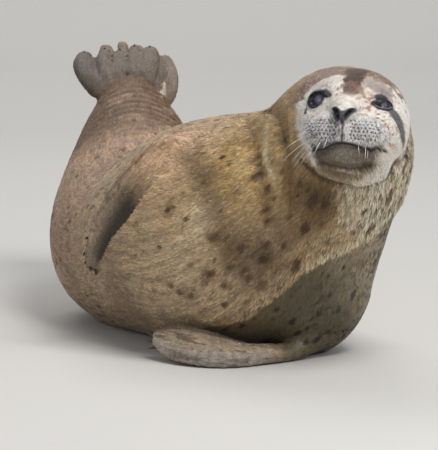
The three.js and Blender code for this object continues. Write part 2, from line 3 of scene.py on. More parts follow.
import bpy
import numpy as np
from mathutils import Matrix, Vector


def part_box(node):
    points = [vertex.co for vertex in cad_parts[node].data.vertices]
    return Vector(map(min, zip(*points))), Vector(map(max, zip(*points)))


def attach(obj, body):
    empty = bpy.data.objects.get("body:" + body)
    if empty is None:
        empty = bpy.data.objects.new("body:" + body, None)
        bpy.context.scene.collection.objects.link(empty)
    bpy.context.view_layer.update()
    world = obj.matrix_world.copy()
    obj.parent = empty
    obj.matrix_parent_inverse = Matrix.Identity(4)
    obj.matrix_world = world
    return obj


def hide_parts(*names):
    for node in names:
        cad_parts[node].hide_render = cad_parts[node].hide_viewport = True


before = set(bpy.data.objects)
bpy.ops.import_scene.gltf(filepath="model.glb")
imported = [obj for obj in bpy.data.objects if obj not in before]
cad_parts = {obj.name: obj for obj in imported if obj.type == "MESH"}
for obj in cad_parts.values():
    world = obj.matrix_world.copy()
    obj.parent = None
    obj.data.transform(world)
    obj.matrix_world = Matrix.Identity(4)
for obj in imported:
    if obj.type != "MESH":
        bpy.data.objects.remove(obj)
rng = np.random.default_rng(7)
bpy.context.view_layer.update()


# ------------------------------------------------------------------ small maths
def nrm(v):
    v = np.asarray(v, float)
    return v / np.linalg.norm(v, axis=-1, keepdims=True)


def smin(a, b, k):
    h = np.clip(0.5 + 0.5 * (b - a) / k, 0, 1)
    return b + (a - b) * h - k * h * (1 - h)


def smax(a, b, k):
    return -smin(-a, -b, k)


def step(x):
    t = np.clip(x, 0, 1)
    return t * t * (3 - 2 * t)


def bell(x, w):
    return np.exp(-((x / w) ** 2))


def mix(a, b, t):
    return a + (b - a) * t


def length(v):
    return np.sqrt((v * v).sum(-1))


def cross(a, b):
    return np.stack(
        [
            a[..., 1] * b[..., 2] - a[..., 2] * b[..., 1],
            a[..., 2] * b[..., 0] - a[..., 0] * b[..., 2],
            a[..., 0] * b[..., 1] - a[..., 1] * b[..., 0],
        ],
        -1,
    )


def hash3(i, j, k, seed=0):
    """A repeatable random number in 0..1 for each lattice point."""
    n = (i * 73856093) ^ (j * 19349663) ^ (k * 83492791) ^ (seed * 2654435761)
    n = (n ^ (n >> 13)) * 1274126177 & 0x7FFFFFFF
    n = (n ^ (n >> 15)) * 2246822519 & 0x7FFFFFFF
    return (n & 0xFFFFFF) / float(0xFFFFFF)


def noise(p, size, seed=0):
    """Smooth noise in 0..1 with blobs about `size` mm across; size may be one per axis."""
    q = p / np.asarray(size, float)
    b = np.floor(q).astype(np.int64)
    f = q - b
    f = f * f * (3 - 2 * f)
    out = 0
    for c in range(8):
        o = ((c >> 0) & 1, (c >> 1) & 1, (c >> 2) & 1)
        w = 1.0
        for a in range(3):
            w = w * (f[..., a] if o[a] else 1 - f[..., a])
        out = out + w * hash3(b[..., 0] + o[0], b[..., 1] + o[1], b[..., 2] + o[2], seed)
    return out


def fractal(p, size, seed=0, n=3):
    out, amp, tot = 0, 1.0, 0.0
    s = np.asarray(size, float)
    for i in range(n):
        out = out + amp * noise(p + 31.7 * i, s, seed + i)
        tot += amp
        amp *= 0.55
        s = s * 0.5
    return out / tot


# ------------------------------------------------------------------ implicit shapes
def ell(p, c, r):
    q = p - np.asarray(c, float)
    q1 = q / np.asarray(r, float)
    k0 = length(q1)
    k1 = length(q1 / np.asarray(r, float)) + 1e-9
    return k0 * (k0 - 1) / k1


def refine(rows, n):
    P = np.asarray(rows, float)
    P = np.vstack([2 * P[0] - P[1], P, 2 * P[-1] - P[-2]])
    out = []
    for i in range(1, len(P) - 2):
        for t in np.arange(n) / n:
            out.append(
                0.5
                * (
                    2 * P[i]
                    + (P[i + 1] - P[i - 1]) * t
                    + (2 * P[i - 1] - 5 * P[i] + 4 * P[i + 1] - P[i + 2]) * t**2
                    + (3 * P[i] - P[i - 1] - 3 * P[i + 1] + P[i + 2]) * t**3
                )
            )
    out.append(P[-2])
    return np.array(out)


class Chain:
    """Tapered elliptical links, rows x y z, half breadth, half depth, leftward direction."""

    def __init__(self, rows, n, k, cap=None):
        self.Q = refine(rows, n)
        self.k = k
        self.cap = cap
        self.links = []
        s = 0.0
        for A, B in zip(self.Q[:-1], self.Q[1:]):
            e = B[:3] - A[:3]
            L = math.sqrt(e @ e)
            T = e / L
            l = A[5:8] + B[5:8]
            l = nrm(l - (l @ T) * T)
            self.links.append((A, B, T, L, l, np.cross(T, l), s))
            s += L
        self.total = s
        r = self.Q[:, 3:5].max(1)[:, None]
        self.lo, self.hi = (self.Q[:, :3] - r).min(0), (self.Q[:, :3] + r).max(0)

    def _each(self, p):
        for i, (A, B, T, L, l, m, s) in enumerate(self.links):
            q = p - A[:3]
            along = q @ T
            t = np.clip(along / L, 0, 1)
            w = along - t * L
            a = A[3] + t * (B[3] - A[3])
            b = A[4] + t * (B[4] - A[4])
            c = np.minimum(a, b)
            if self.cap and i == 0:
                c = np.where(w < 0, self.cap, c)
            u, v, w = (q @ l) / a, (q @ m) / b, w / c
            k0 = np.sqrt(u * u + v * v + w * w)
            k1 = np.sqrt((u / a) ** 2 + (v / b) ** 2 + (w / c) ** 2) + 1e-9
            yield np.where(k0 > 1e-4, k0 * (k0 - 1) / k1, -np.minimum(c, a)), t, u, v

    def d(self, p):
        low = acc = None
        for d, _, _, _ in self._each(p):
            if low is None:
                low, acc = d, np.ones_like(d)
                continue
            new = np.minimum(low, d)
            if self.k:
                acc = acc * np.exp((new - low) / self.k) + np.exp((new - d) / self.k)
            low = new
        if not self.k:
            return low
        return low - self.k * np.log(acc) + self.k * 1.1

    def place(self, p, k=12.0):
        """Where p lies along the chain: mm along it, u and v across it in -1..1, its
        direction, its leftward direction and its half breadth."""
        ds, ss, us, vs = [], [], [], []
        for (d, t, u, v), (A, B, T, L, l, m, s) in zip(self._each(p), self.links):
            ds.append(d)
            ss.append(s + t * L)
            us.append(u)
            vs.append(v)
        D = np.array(ds)
        W = np.exp(-(D - D.min(0)) / k)
        W /= W.sum(0)
        T = np.array([x[2] for x in self.links])
        l = np.array([x[4] for x in self.links])
        a = np.array([(x[0][3] + x[1][3]) / 2 for x in self.links])
        return (
            (W * np.array(ss)).sum(0),
            (W * np.array(us)).sum(0),
            (W * np.array(vs)).sum(0),
            nrm(W.T @ T),
            nrm(W.T @ l),
            W.T @ a,
        )


def near(p, f, lo, hi, margin=40.0):
    """f close to its box, and the distance to the box elsewhere."""
    out = length(np.maximum(np.maximum(lo - p, p - hi), 0)) + 5.0
    m = out < margin
    if m.any():
        out[m] = f(p[m])
    return out


# ------------------------------------------------------------------ the animal's measures
BODY_AXIS = [
    (174, -6, 314, 78, 80, 0.96, -0.20, -0.15),
    (160, 14, 303, 89, 92, 0.92, -0.22, -0.30),
    (148, 38, 267, 101, 104, 0.86, -0.26, -0.42),
    (123, 62, 230, 112, 118, 0.76, -0.30, -0.55),
    (86, 92, 188, 136, 143, 0.66, -0.32, -0.66),
    (56, 125, 160, 156, 165, 0.60, -0.28, -0.72),
    (16, 185, 151, 155, 166, 0.50, -0.15, -0.82),
    (-24, 255, 141, 146, 158, 0.42, -0.02, -0.90),
    (-65, 330, 121, 124, 148, 0.36, 0.08, -0.92),
    (-95, 400, 113, 118, 141, 0.30, 0.20, -0.92),
    (-111, 472, 135, 110, 124, 0.22, 0.45, -0.86),
    (-118, 545, 178, 88, 98, 0.15, 0.66, -0.74),
    (-122, 600, 222, 64, 74, 0.11, 0.76, -0.64),
    (-125, 637, 254, 43, 52, 0.10, 0.78, -0.62),
    (-129, 662, 278, 30, 36, 0.10, 0.80, -0.60),
]
FORE_RIGHT = [
    (-70, 105, 250, 36, 36, 0.62, -0.5, -0.6),
    (-92, 92, 236, 34, 27, 0.62, -0.5, -0.6),
    (-112, 96, 219, 33, 19, 0.62, -0.5, -0.6),
    (-131, 110, 195, 33, 14, 0.64, -0.5, -0.58),
    (-146, 131, 172, 30, 11, 0.66, -0.5, -0.55),
    (-158, 152, 146, 26, 9, 0.7, -0.5, -0.5),
    (-168, 178, 120, 20, 8, 0.75, -0.5, -0.42),
    (-174, 198, 100, 13, 6, 0.8, -0.5, -0.35),
]
FORE_LEFT = [
    (135, 95, 60, 50, 46, 0.05, -0.85, -0.55),
    (104, 42, 17, 19, 17, 0.05, -0.85, -0.55),
    (60, 4, 14, 17, 13, 0.1, -0.83, -0.55),
    (8, -12, 17.5, 31, 13, 0.15, -0.83, -0.55),
    (-35, 4, 25, 32, 11, 0.25, -0.76, -0.6),
    (-66, 26, 29, 24, 9, 0.35, -0.72, -0.58),
    (-86, 44, 31, 12, 6, 0.4, -0.7, -0.58),
]
HIND_RIGHT = [
    (((-143, 640, 270, 20), (-179, 668, 297, 17), (-194, 705, 318, 17), (-194, 740, 331, 12)), 0.62),
    (((-140, 642, 275, 17), (-160, 672, 305, 13), (-166, 712, 325, 12), (-165, 752, 336, 9)), 0.68),
    (((-134, 645, 277, 17), (-142, 676, 308, 12), (-143, 716, 325, 11), (-143, 752, 335, 8)), 0.70),
    (((-126, 645, 277, 17), (-123, 675, 309, 12), (-122, 716, 328, 11), (-122, 754, 340, 9)), 0.70),
    (((-117, 642, 275, 18), (-103, 670, 305, 15), (-99, 708, 326, 16), (-100, 748, 338, 12)), 0.60),
]
HIND_LEFT = [
    (((-108, 668, 256, 19), (-78, 690, 276, 16), (-72, 722, 302, 15), (-78, 756, 324, 11)), 0.62),
    (((-112, 672, 262, 17), (-93, 700, 290, 13), (-92, 735, 316, 12), (-97, 772, 334, 9)), 0.68),
    (((-116, 674, 265, 17), (-111, 704, 298, 12), (-113, 742, 322, 11), (-118, 780, 338, 9)), 0.70),
    (((-122, 674, 265, 17), (-131, 704, 298, 12), (-135, 742, 322, 11), (-140, 782, 342, 9)), 0.70),
    (((-130, 670, 265, 18), (-151, 698, 296, 15), (-160, 734, 318, 14), (-163, 772, 338, 11)), 0.60),
]
TAIL = [
    (-112, 600, 240, 26, 18, 0.1, 0.6, -0.5),
    (-90, 618, 260, 17, 12, 0.1, 0.75, -0.6),
    (-80, 634, 280, 13, 9, 0.1, 0.75, -0.6),
    (-81, 652, 303, 7, 5, 0.1, 0.75, -0.6),
]
WEB = 4.5

# head frame: F towards the snout, L to the animal's left, U to the crown
HEAD = np.array([179.5, -20, 330.5])
SNOUT = nrm([-0.150, -0.940, 0.309])
_l = nrm(np.array([1.0, 0, 0]) - SNOUT * SNOUT[0])
_u = np.cross(SNOUT, _l)
_c, _s = math.cos(math.radians(-4)), math.sin(math.radians(-4))
LEFT = nrm(_l * _c + _u * _s)
CROWN = np.cross(SNOUT, LEFT)
HEAD_M = np.stack([SNOUT, LEFT, CROWN])
EYE_R = 16.0
EYE = np.array([48.0, 35.2, 12.0])
GAZE = nrm([0.86, 0.50, 0.06])


def to_head(p):
    return (p - HEAD) @ HEAD_M.T


def from_head(q):
    return HEAD + np.asarray(q, float) @ HEAD_M


trunk = Chain(BODY_AXIS, 5, 7.0, cap=38)
fore_r = Chain(FORE_RIGHT, 4, 2.2)
fore_l = Chain(FORE_LEFT, 4, 2.2)
tail = Chain(TAIL, 3, 1.5)


def foot(toes, across):
    rows = [[(*p, p[3] * flat, *across) for p in r] for r, flat in toes]
    webs = []
    for a, b in zip(rows[:-1], rows[1:]):
        web = []
        for j, (p, q) in enumerate(zip(a, b)):
            p3, q3 = np.array(p[:3]), np.array(q[:3])
            half = 0.5 * length(p3 - q3)
            end = (p3 + q3) / 2
            if j == 3:
                end = mix(end, (np.array(a[2][:3]) + np.array(b[2][:3])) / 2, 0.35)
            web.append((*end, half * 0.9 + 2, WEB - 1.2, *across))
        webs.append(Chain(web, 5, 1.5))
    return [Chain(r, 6, 1.5) for r in rows], webs


feet = {
    "hind_flipper_right": foot(HIND_RIGHT, (1, -0.05, 0)),
    "hind_flipper_left": foot(HIND_LEFT, (1, 0.25, 0)),
}


def foot_d(p, name):
    toes, webs = feet[name]
    d = toes[0].d(p)
    for c in toes[1:]:
        d = smin(d, c.d(p), 4)
    for c in webs:
        d = smin(d, c.d(p), 3)
    return d


def foot_box(name):
    toes, _ = feet[name]
    return np.min([c.lo for c in toes], 0), np.max([c.hi for c in toes], 0)


def head_d(p):
    q = to_head(p)
    qa = q.copy()
    qa[..., 1] = np.abs(qa[..., 1])
    d = ell(qa, (0, 0, 0), (80, 72.5, 68))
    d = smin(d, ell(qa, (24, 26, -22), (50, 46, 44)), 20)
    d = smin(d, ell(qa, (56, 0, -4), (48, 25, 23)), 14)
    d = smin(d, ell(qa, (38, 0, -48), (46, 48, 32)), 18)
    d = smin(d, ell(qa, (70, 0, -58), (31, 34, 19)), 8)
    d = smin(d, ell(qa, (24, 0, -57), (46, 56, 34)), 7)
    m = ell(qa, (76, 25, -35), (27, 31, 25))
    m = smin(m, ell(qa, (82, 0, -34), (23, 18, 22)), 8)
    d = smin(d, m, 10)
    d = smin(d, ell(q, (97, -2, -14), (13, 16, 11)), 6)
    d = smin(d, ell(qa, (49, 37, 13), (16, 20, 16)), 9)
    return d


def groove(p, c, n, width, depth, a, b, soft):
    """A furrow where the plane through c with normal n meets the skin, faded at its ends a, b."""
    c, a, b = (np.asarray(v, float) for v in (c, a, b))
    ab = b - a
    t = ((p - a) @ ab) / (ab @ ab)
    fade = step((t + soft) / soft) * step((1 + soft - t) / soft)
    reach = step((90 - length(p - (a + b) / 2) + length(ab) / 2) / 40)
    return depth * bell((p - c) @ nrm(n), width) * fade * reach


# centre, normal, width, depth, two ends, softness; a negative depth is a roll that stands out
FOLDS = [
    ((90, -45, 300), (0.95, 0.25, 0.05), 6.5, 3.4, (93, -30, 345), (95, -55, 238), 0.25),
    ((54, -20, 280), (0.97, 0.1, 0.12), 8, 2.6, (58, 10, 325), (60, -45, 220), 0.3),
    ((73, -35, 285), (0.96, 0.2, 0.08), 8, -2.4, (75, 0, 330), (77, -50, 225), 0.3),
    ((30, -8, 262), (0.97, 0.12, 0.10), 13, -2.0, (32, 22, 315), (36, -40, 205), 0.3),
    ((-12, 0, 225), (0.93, 0.2, 0.3), 17, 3.2, (-22, 40, 285), (10, -36, 165), 0.3),
]


def fold_depth(p):
    d = 0
    for row in FOLDS:
        d = d + groove(p, *row)
    return d


def folds(p):
    """Soft rolls and furrows of the loose skin, as an inward shift in mm."""
    d = fold_depth(p)
    # rings round the ankle, and fine wrinkles where the hips bend
    ring, hips, wr = wrinkles(p)
    return d + ring * 1.7 * wr[0] + hips * 1.0 * wr[1]


def wrinkles(p):
    """Where the rings of the ankle and the wrinkles of the hips lie, and their profiles."""
    along = (p - np.array([-112, 569, 280.0])) @ nrm([-0.05, 0.86, 0.5])
    wob = 5 * (noise(p, 60, 3) - 0.5)
    ring = step((along + 78) / 45) * step((72 - along) / 26) * (0.25 + 0.75 * step((p[..., 0] + 172) / 40)) * (0.45 + 0.9 * (noise(p, 26, 6) - 0.2))
    hips = step((p[..., 2] - 225) / 40) * step((along + 200) / 60) * step((-50 - along) / 30)
    # the rings dip to the sides, as they do round a bent ankle
    dip = 0.0045 * (p[..., 0] + 118) ** 2
    a = (0.5 + 0.5 * np.sin((along + dip + wob * 2.2) * 2 * math.pi / 16)) ** 3
    b = (0.5 + 0.5 * np.sin((along + dip + wob * 3.5) * 2 * math.pi / 19)) ** 5
    return ring, hips * step((noise(p, 30, 4) - 0.35) / 0.25), (a, b)


# each lid opening: side, half width, half height, height of its middle
LIDS = ((-1, 11.6, 10.2, 0.0), (1, 10.8, 4.6, -4.4))


def nostrils(q):
    """1 at the edge of each slit and 1 at its rim, in slit widths, for the nearer of the two."""
    k = rim = 99.0
    for sgn, wd, ln, an in ((-1, 3.3, 9.4, 27), (1, 2.3, 8.6, 40)):
        r = q - np.array([104.0, 8.3 * sgn - 2.4, -12.0])
        an = math.radians(an) * sgn
        # each slit curls outwards at its upper end
        a = r[..., 1] * math.cos(an) - r[..., 2] * math.sin(an)
        b = r[..., 1] * math.sin(an) + r[..., 2] * math.cos(an)
        a = a - sgn * 0.018 * b * b + sgn * 0.6
        far = np.where(q[..., 0] < 80, 9.0, 0.0)
        k = np.minimum(k, np.sqrt((a / wd) ** 2 + (b / ln) ** 2) + far)
        rim = np.minimum(rim, np.sqrt((a / (wd + 2.4)) ** 2 + (b / (ln + 2.0)) ** 2) + far)
    return k, rim


def face(q, d):
    """Nostrils, philtrum, mouth, chin fold and lids cut into the head; q in the head frame."""
    F, L, U = q[..., 0], q[..., 1], q[..., 2]
    A = np.abs(L)
    d = d + 2.6 * bell(L + 1.5, 1.6) * step((-20 - U) / 5) * step((U + 52) / 3) * step((F - 85) / 6)
    Um = -49.5 - 4.5 * step(A / 30) + 4 * step((A - 34) / 14)
    md = step((F - 42) / 12) * step((56 - A) / 8)
    d = d + md * (4.8 * bell(U - Um, 1.7) + 1.4 * bell(U - Um + 5, 5))
    d = d - md * 0.9 * bell(U - Um - 4, 3)
    # fold under the chin
    Uc = -74 + 7 * step(A / 44)
    d = d + 2.2 * bell(U - Uc, 2.6) * step((F - 35) / 20) * step((48 - A) / 14)
    # nostrils, with a low rim
    k, rim = nostrils(q)
    d = d + 5.0 * step((1.12 - k) / 0.55) - 0.9 * bell(rim - 1.0, 0.22) * step((F - 84) / 8)
    # ear openings
    ear = length((np.stack([F, A, U], -1) - np.array([25, 71.5, 9])) / np.array([3.6, 7, 2.0]))
    d = d + 2.2 * bell(ear, 0.9)
    # lids round each eye: the right one open, the left one half shut
    for sgn, w, hv, dv in LIDS:
        r = q - EYE * np.array([1, sgn, 1])
        g = GAZE * np.array([1, sgn, 1])
        h = nrm(np.cross([0, 0, 1.0], g))
        v = np.cross(g, h)
        n = length(r)
        x, y, z = r @ g, r @ h, r @ v
        d = smin(d, n - (EYE_R + 2.0), 5)
        k = np.sqrt((y / w) ** 2 + ((z - dv) / hv) ** 2)
        # the corner of the lids towards the nose, and a furrow beyond the rim
        inner = -sgn * y
        d = d + 1.0 * bell(length(np.stack([(inner - w - 2.5) / 3.2, (z - dv - 1.0 * (sgn < 0)) / 1.5], -1)), 1.0) * step((x - 2) / 6)
        d = d + 1.3 * bell(k - 1.75, 0.3) * step((x - 2) / 6)
        cut = np.minimum((1 - k) * min(w, hv), x - 3)
        d = smax(d, cut, 1.2)
        d = smin(d, n - (EYE_R - 1.3), 0.4)
    return d


HEAD_BOX = (HEAD - 125, HEAD + 125)


def flesh(p, fine=True, parts=False):
    """Signed distance, roughly, to the outer surface with its coat on."""
    dt = trunk.d(p)
    dh = near(p, head_d, *HEAD_BOX)
    d = smin(dt, dh, 4)
    r = near(p, fore_r.d, fore_r.lo, fore_r.hi)
    kr = 6 + 34 * step((p[..., 2] - 165) / 60)
    d = smin(d, r, kr)
    d = smin(d, ell(p, (112, 104, 88), (88, 78, 92)), 30)
    l = near(p, fore_l.d, fore_l.lo, fore_l.hi)
    d = smin(d, l, 9)
    feet_d = 1e3
    for name in feet:
        f = near(p, lambda q: foot_d(q, name), *foot_box(name))
        feet_d = np.minimum(feet_d, f)
        d = smin(d, f, 6)
    t = near(p, tail.d, tail.lo, tail.hi)
    d = smin(d, t, 5)
    limb = np.minimum(np.minimum(r, l), np.minimum(feet_d, t))
    if fine:
        d = d + folds(p)
        # the digits of the fore flippers show as low ridges
        for c, box in ((fore_r, 0), (fore_l, 1)):
            m = near(p, c.d, c.lo, c.hi) < 12
            if m.any():
                s, u, v, *_ = c.place(p[m], 6.0)
                on = step((s / c.total - 0.42) / 0.25)
                d[m] += 0.7 * on * (0.5 - 0.5 * np.cos((u + 1) * math.pi * 4.6)) * np.clip(1 - np.abs(u) ** 4, 0, 1)
        m = length(p - HEAD) < 128
        if m.any():
            d[m] = face(to_head(p[m]), d[m])
    d = smax(d, -p[..., 2] - 1.5, 6)
    if parts:
        return d, dt, dh, limb
    return d


def nose_leather(q):
    """1 on the bare skin of the nose: a rim round each slit and the wedge between them."""
    _, rim = nostrils(q)
    L, U = q[..., 1] + 2.2, q[..., 2]
    wedge = step((2.0 + 0.36 * (U + 27) - np.abs(L)) / 1.5) * step((U + 28) / 3) * step((-7.5 - U) / 3)
    return np.maximum(step((1.16 - rim) / 0.2), wedge) * step((q[..., 0] - 84) / 5)


def lid_rim(q):
    """1 on the bare dark skin round the eyes."""
    out = np.zeros(q.shape[:-1])
    for sgn, w, hv, dv in LIDS:
        r = q - EYE * np.array([1, sgn, 1])
        g = GAZE * np.array([1, sgn, 1])
        h = nrm(np.cross([0, 0, 1.0], g))
        v = np.cross(g, h)
        x, y, z = r @ g, r @ h, r @ v
        inner = -sgn * y
        k = np.sqrt((y / (w + 3.0)) ** 2 + ((z - dv) / (hv + 3.0)) ** 2)
        # towards the nose the dark skin runs out to a point; the upper lid is the broader
        tilt = 2.6 if sgn < 0 else 0.6
        k2 = np.sqrt(((inner - w * 0.75) / (w * 0.85)) ** 2 + ((z - dv - tilt) / 4.2) ** 2)
        k3 = np.sqrt((y / (w + 1.0)) ** 2 + ((z - dv - hv * 0.75) / (hv * 0.4 + 3.2)) ** 2)
        k = np.minimum(np.minimum(k, k2 + 0.05), k3 + 0.05)
        out = np.maximum(out, step((1.12 - k) / 0.16) * step((x - 2) / 4))
    return out


# ------------------------------------------------------------------ meshing
def surface_net(f, lo, hi, cell, coarse=4):
    """Quads on the zero of f, worked out only near the surface."""
    lo = np.asarray(lo, float)
    nb = np.ceil((np.asarray(hi, float) - lo) / (cell * coarse)).astype(int) + 1
    C = np.stack(np.meshgrid(*[np.arange(k + 1) for k in nb], indexing="ij"), -1)
    dc = f((lo + C.reshape(-1, 3) * cell * coarse)).reshape(C.shape[:3])
    n = nb * coarse + 1
    val = np.kron(dc[:-1, :-1, :-1], np.ones((coarse,) * 3))
    val = np.pad(val, ((0, 1),) * 3, mode="edge")[: n[0], : n[1], : n[2]]
    band = np.abs(dc) < 2.2 * cell * coarse
    cellband = np.zeros(nb, bool)
    for c in range(8):
        o = [(c >> a) & 1 for a in range(3)]
        cellband |= band[o[0] : nb[0] + o[0], o[1] : nb[1] + o[1], o[2] : nb[2] + o[2]]
    sel = np.kron(cellband, np.ones((coarse,) * 3, bool))
    sel = np.pad(sel, ((0, 1),) * 3, mode="edge")
    # include the far faces of each chosen block
    grown = sel.copy()
    for a in range(3):
        g = np.zeros_like(grown)
        s1 = [slice(None)] * 3
        s2 = [slice(None)] * 3
        s1[a], s2[a] = slice(1, None), slice(None, -1)
        g[tuple(s1)] = grown[tuple(s2)]
        grown |= g
    idx = np.argwhere(grown)
    P = lo + idx * cell
    out = np.empty(len(P))
    for a in range(0, len(P), 200000):
        out[a : a + 200000] = f(P[a : a + 200000])
    val[tuple(idx.T)] = out
    ins = val < 0
    cnt = sum(
        ins[o[0] : n[0] - 1 + o[0], o[1] : n[1] - 1 + o[1], o[2] : n[2] - 1 + o[2]].astype(np.int8)
        for o in [((c >> 0) & 1, (c >> 1) & 1, (c >> 2) & 1) for c in range(8)]
    )
    cells = np.argwhere((cnt > 0) & (cnt < 8))
    ids = -np.ones(cnt.shape, int)
    ids[tuple(cells.T)] = np.arange(len(cells))
    cv = np.stack(
        [val[tuple((cells + [(c >> a) & 1 for a in range(3)]).T)] for c in range(8)], -1
    )
    acc = np.zeros((len(cells), 3))
    num = np.zeros(len(cells))
    for c in range(8):
        for a in range(3):
            if (c >> a) & 1:
                continue
            e = c | (1 << a)
            x = (cv[:, c] < 0) != (cv[:, e] < 0)
            t = np.where(x, cv[:, c] / np.where(x, cv[:, c] - cv[:, e], 1), 0)
            o = np.array([(c >> b) & 1 for b in range(3)], float)
            pt = np.repeat(o[None], len(cells), 0)
            pt[:, a] += t
            acc += pt * x[:, None]
            num += x
    V = lo + (cells + acc / num[:, None]) * cell
    quads = []
    for a in range(3):
        b, c = (a + 1) % 3, (a + 2) % 3
        s1 = [slice(1, -1)] * 3
        s2 = [slice(1, -1)] * 3
        s1[a], s2[a] = slice(0, -1), slice(1, None)
        A, B = ins[tuple(s1)], ins[tuple(s2)]
        base = np.array([1, 1, 1])
        base[a] = 0
        for flip, m in ((False, A & ~B), (True, ~A & B)):
            g = np.argwhere(m) + base
            db, dc_ = np.zeros(3, int), np.zeros(3, int)
            db[b], dc_[c] = 1, 1
            q = [g - db - dc_, g - dc_, g, g - db]
            q = np.stack([ids[tuple(x.T)] for x in q], -1)
            if flip:
                q = q[:, ::-1]
            quads.append(q)
    Q = np.concatenate(quads)
    return V, Q[(Q >= 0).all(1)]


def gradient(p, f, e=0.4):
    g = 0
    for k in ((1, -1, -1), (-1, -1, 1), (-1, 1, -1), (1, 1, 1)):
        k = np.array(k, float)
        g = g + k * f(p + e * k)[:, None]
    return g / (4 * e)


def settle(p, f, rounds=3, reach=2.0, e=0.4):
    for _ in range(rounds):
        d = f(p)
        g = gradient(p, f, e)
        g2 = np.maximum((g * g).sum(1), 0.05)
        mv = -(d / g2)[:, None] * g
        ln = length(mv)[:, None]
        p = p + mv * np.minimum(1, reach / np.maximum(ln, 1e-9))
    return p


def split_quads(V, Q):
    d1 = length(V[Q[:, 0]] - V[Q[:, 2]])
    d2 = length(V[Q[:, 1]] - V[Q[:, 3]])
    a = np.where((d1 <= d2)[:, None], Q[:, [0, 1, 2]], Q[:, [0, 1, 3]])
    b = np.where((d1 <= d2)[:, None], Q[:, [0, 2, 3]], Q[:, [1, 2, 3]])
    return np.concatenate([a, b])


def divide(V, T, want):
    """Cut every edge whose middle is wanted in two, keeping the mesh whole."""
    E = np.sort(np.concatenate([T[:, [0, 1]], T[:, [1, 2]], T[:, [2, 0]]]), 1)
    key, inv = np.unique(E[:, 0].astype(np.int64) * len(V) + E[:, 1], return_inverse=True)
    e = np.stack([key // len(V), key % len(V)], -1)
    mid = (V[e[:, 0]] + V[e[:, 1]]) / 2
    cut = want(mid, length(V[e[:, 0]] - V[e[:, 1]]))
    new = -np.ones(len(e), int)
    new[cut] = len(V) + np.arange(cut.sum())
    V2 = np.concatenate([V, mid[cut]])
    M = new[inv.reshape(3, -1).T]
    c = (M >= 0).sum(1)
    out = [T[c == 0]]
    t, m = T[c == 3], M[c == 3]
    for q in (
        (t[:, 0], m[:, 0], m[:, 2]),
        (m[:, 0], t[:, 1], m[:, 1]),
        (m[:, 2], m[:, 1], t[:, 2]),
        (m[:, 0], m[:, 1], m[:, 2]),
    ):
        out.append(np.stack(q, -1))
    for k in range(3):  # one cut edge
        s = (c == 1) & (M[:, k] >= 0)
        t, m = np.roll(T[s], -k, 1), np.roll(M[s], -k, 1)
        out += [np.stack([t[:, 0], m[:, 0], t[:, 2]], -1), np.stack([m[:, 0], t[:, 1], t[:, 2]], -1)]
        s = (c == 2) & (M[:, k] < 0)  # two cut edges, the whole one first
        t, m = np.roll(T[s], -k, 1), np.roll(M[s], -k, 1)
        out += [
            np.stack([t[:, 0], t[:, 1], m[:, 1]], -1),
            np.stack([t[:, 0], m[:, 1], m[:, 2]], -1),
            np.stack([m[:, 2], m[:, 1], t[:, 2]], -1),
        ]
    return V2, np.concatenate(out), np.arange(len(V), len(V2))


def vertex_normals(V, T):
    n = cross(V[T[:, 1]] - V[T[:, 0]], V[T[:, 2]] - V[T[:, 0]])
    N = np.zeros_like(V)
    for k in range(3):
        np.add.at(N, T[:, k], n)
    return N / np.maximum(length(N)[:, None], 1e-12)


# ------------------------------------------------------------------ the skin
e_lo, e_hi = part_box("eye_left")
SHIFT = (np.array(e_lo) + np.array(e_hi)) * 500.0 - from_head(EYE)


def to_model(p):
    return (p + SHIFT) * 0.001


def depth_of(p, dt, dh, limb):
    """How far the skin lies under the tips of the coat, in mm."""
    q = to_head(p)
    w_limb = step((dt - 2) / 10) * step((dh - limb) / 8)
    depth = mix(3.2, 1.1, w_limb)
    on_head = step((dt - dh + 4) / 10) * (length(p - HEAD) < 128)
    head_depth = mix(2.2, 1.1, step((q[..., 0] + 10) / 60))
    bare = np.maximum(nose_leather(q), lid_rim(q))
    depth = mix(depth, mix(head_depth, 0.15, bare), on_head)
    return depth * (0.3 + 0.7 * step(p[..., 2] / 22))


def skin_rough(p):
    d, dt, dh, limb = flesh(p, fine=False, parts=True)
    return d + depth_of(p, dt, dh, limb)


def skin_fine(p):
    d, dt, dh, limb = flesh(p, fine=True, parts=True)
    return d + depth_of(p, dt, dh, limb)


CELL = 5.4
V, Q = surface_net(skin_rough, (-262, -160, -9), (290, 815, 425), CELL)
T = split_quads(V, Q)
V = settle(V, skin_fine, 2, 2.0)


def want_face(p, ln):
    q = to_head(p)
    front = (length(p - HEAD) < 124) & (q[:, 0] > -25)
    webs = (p[:, 1] > 640) | (near(p, fore_r.d, fore_r.lo, fore_r.hi) < 6) | (near(p, fore_l.d, fore_l.lo, fore_l.hi) < 6)
    return (front & (ln > 2.7)) | (webs & (ln > 3.0))


def want_muzzle(p, ln):
    q = to_head(p)
    m = (q[:, 0] > 52) & (q[:, 2] < 6) & (q[:, 2] > -84) & (np.abs(q[:, 1]) < 60)
    for s in (-1, 1):
        m |= length(q - EYE * np.array([1, s, 1]) - 14 * GAZE * np.array([1, s, 1])) < 24
    return m & (length(p - HEAD) < 124) & (ln > 1.5)


def want_rims(p, ln):
    q = to_head(p)
    m = np.zeros(len(p), bool)
    for s in (-1, 1):
        m |= length(q - EYE * np.array([1, s, 1]) - 14 * GAZE * np.array([1, s, 1])) < 17
        m |= length(q - np.array([102, 8.3 * s - 2.4, -12])) < 15
    m |= (np.abs(q[:, 2] + 51) < 6) & (np.abs(q[:, 1]) < 55) & (q[:, 0] > 50)
    return m & (length(p - HEAD) < 124) & (ln > 0.95)


def want_rolls(p, ln):
    d = 0
    for row in FOLDS[:4]:
        d = d + np.abs(groove(p, *row))
    return (d > 0.8) & (ln > 3.2)


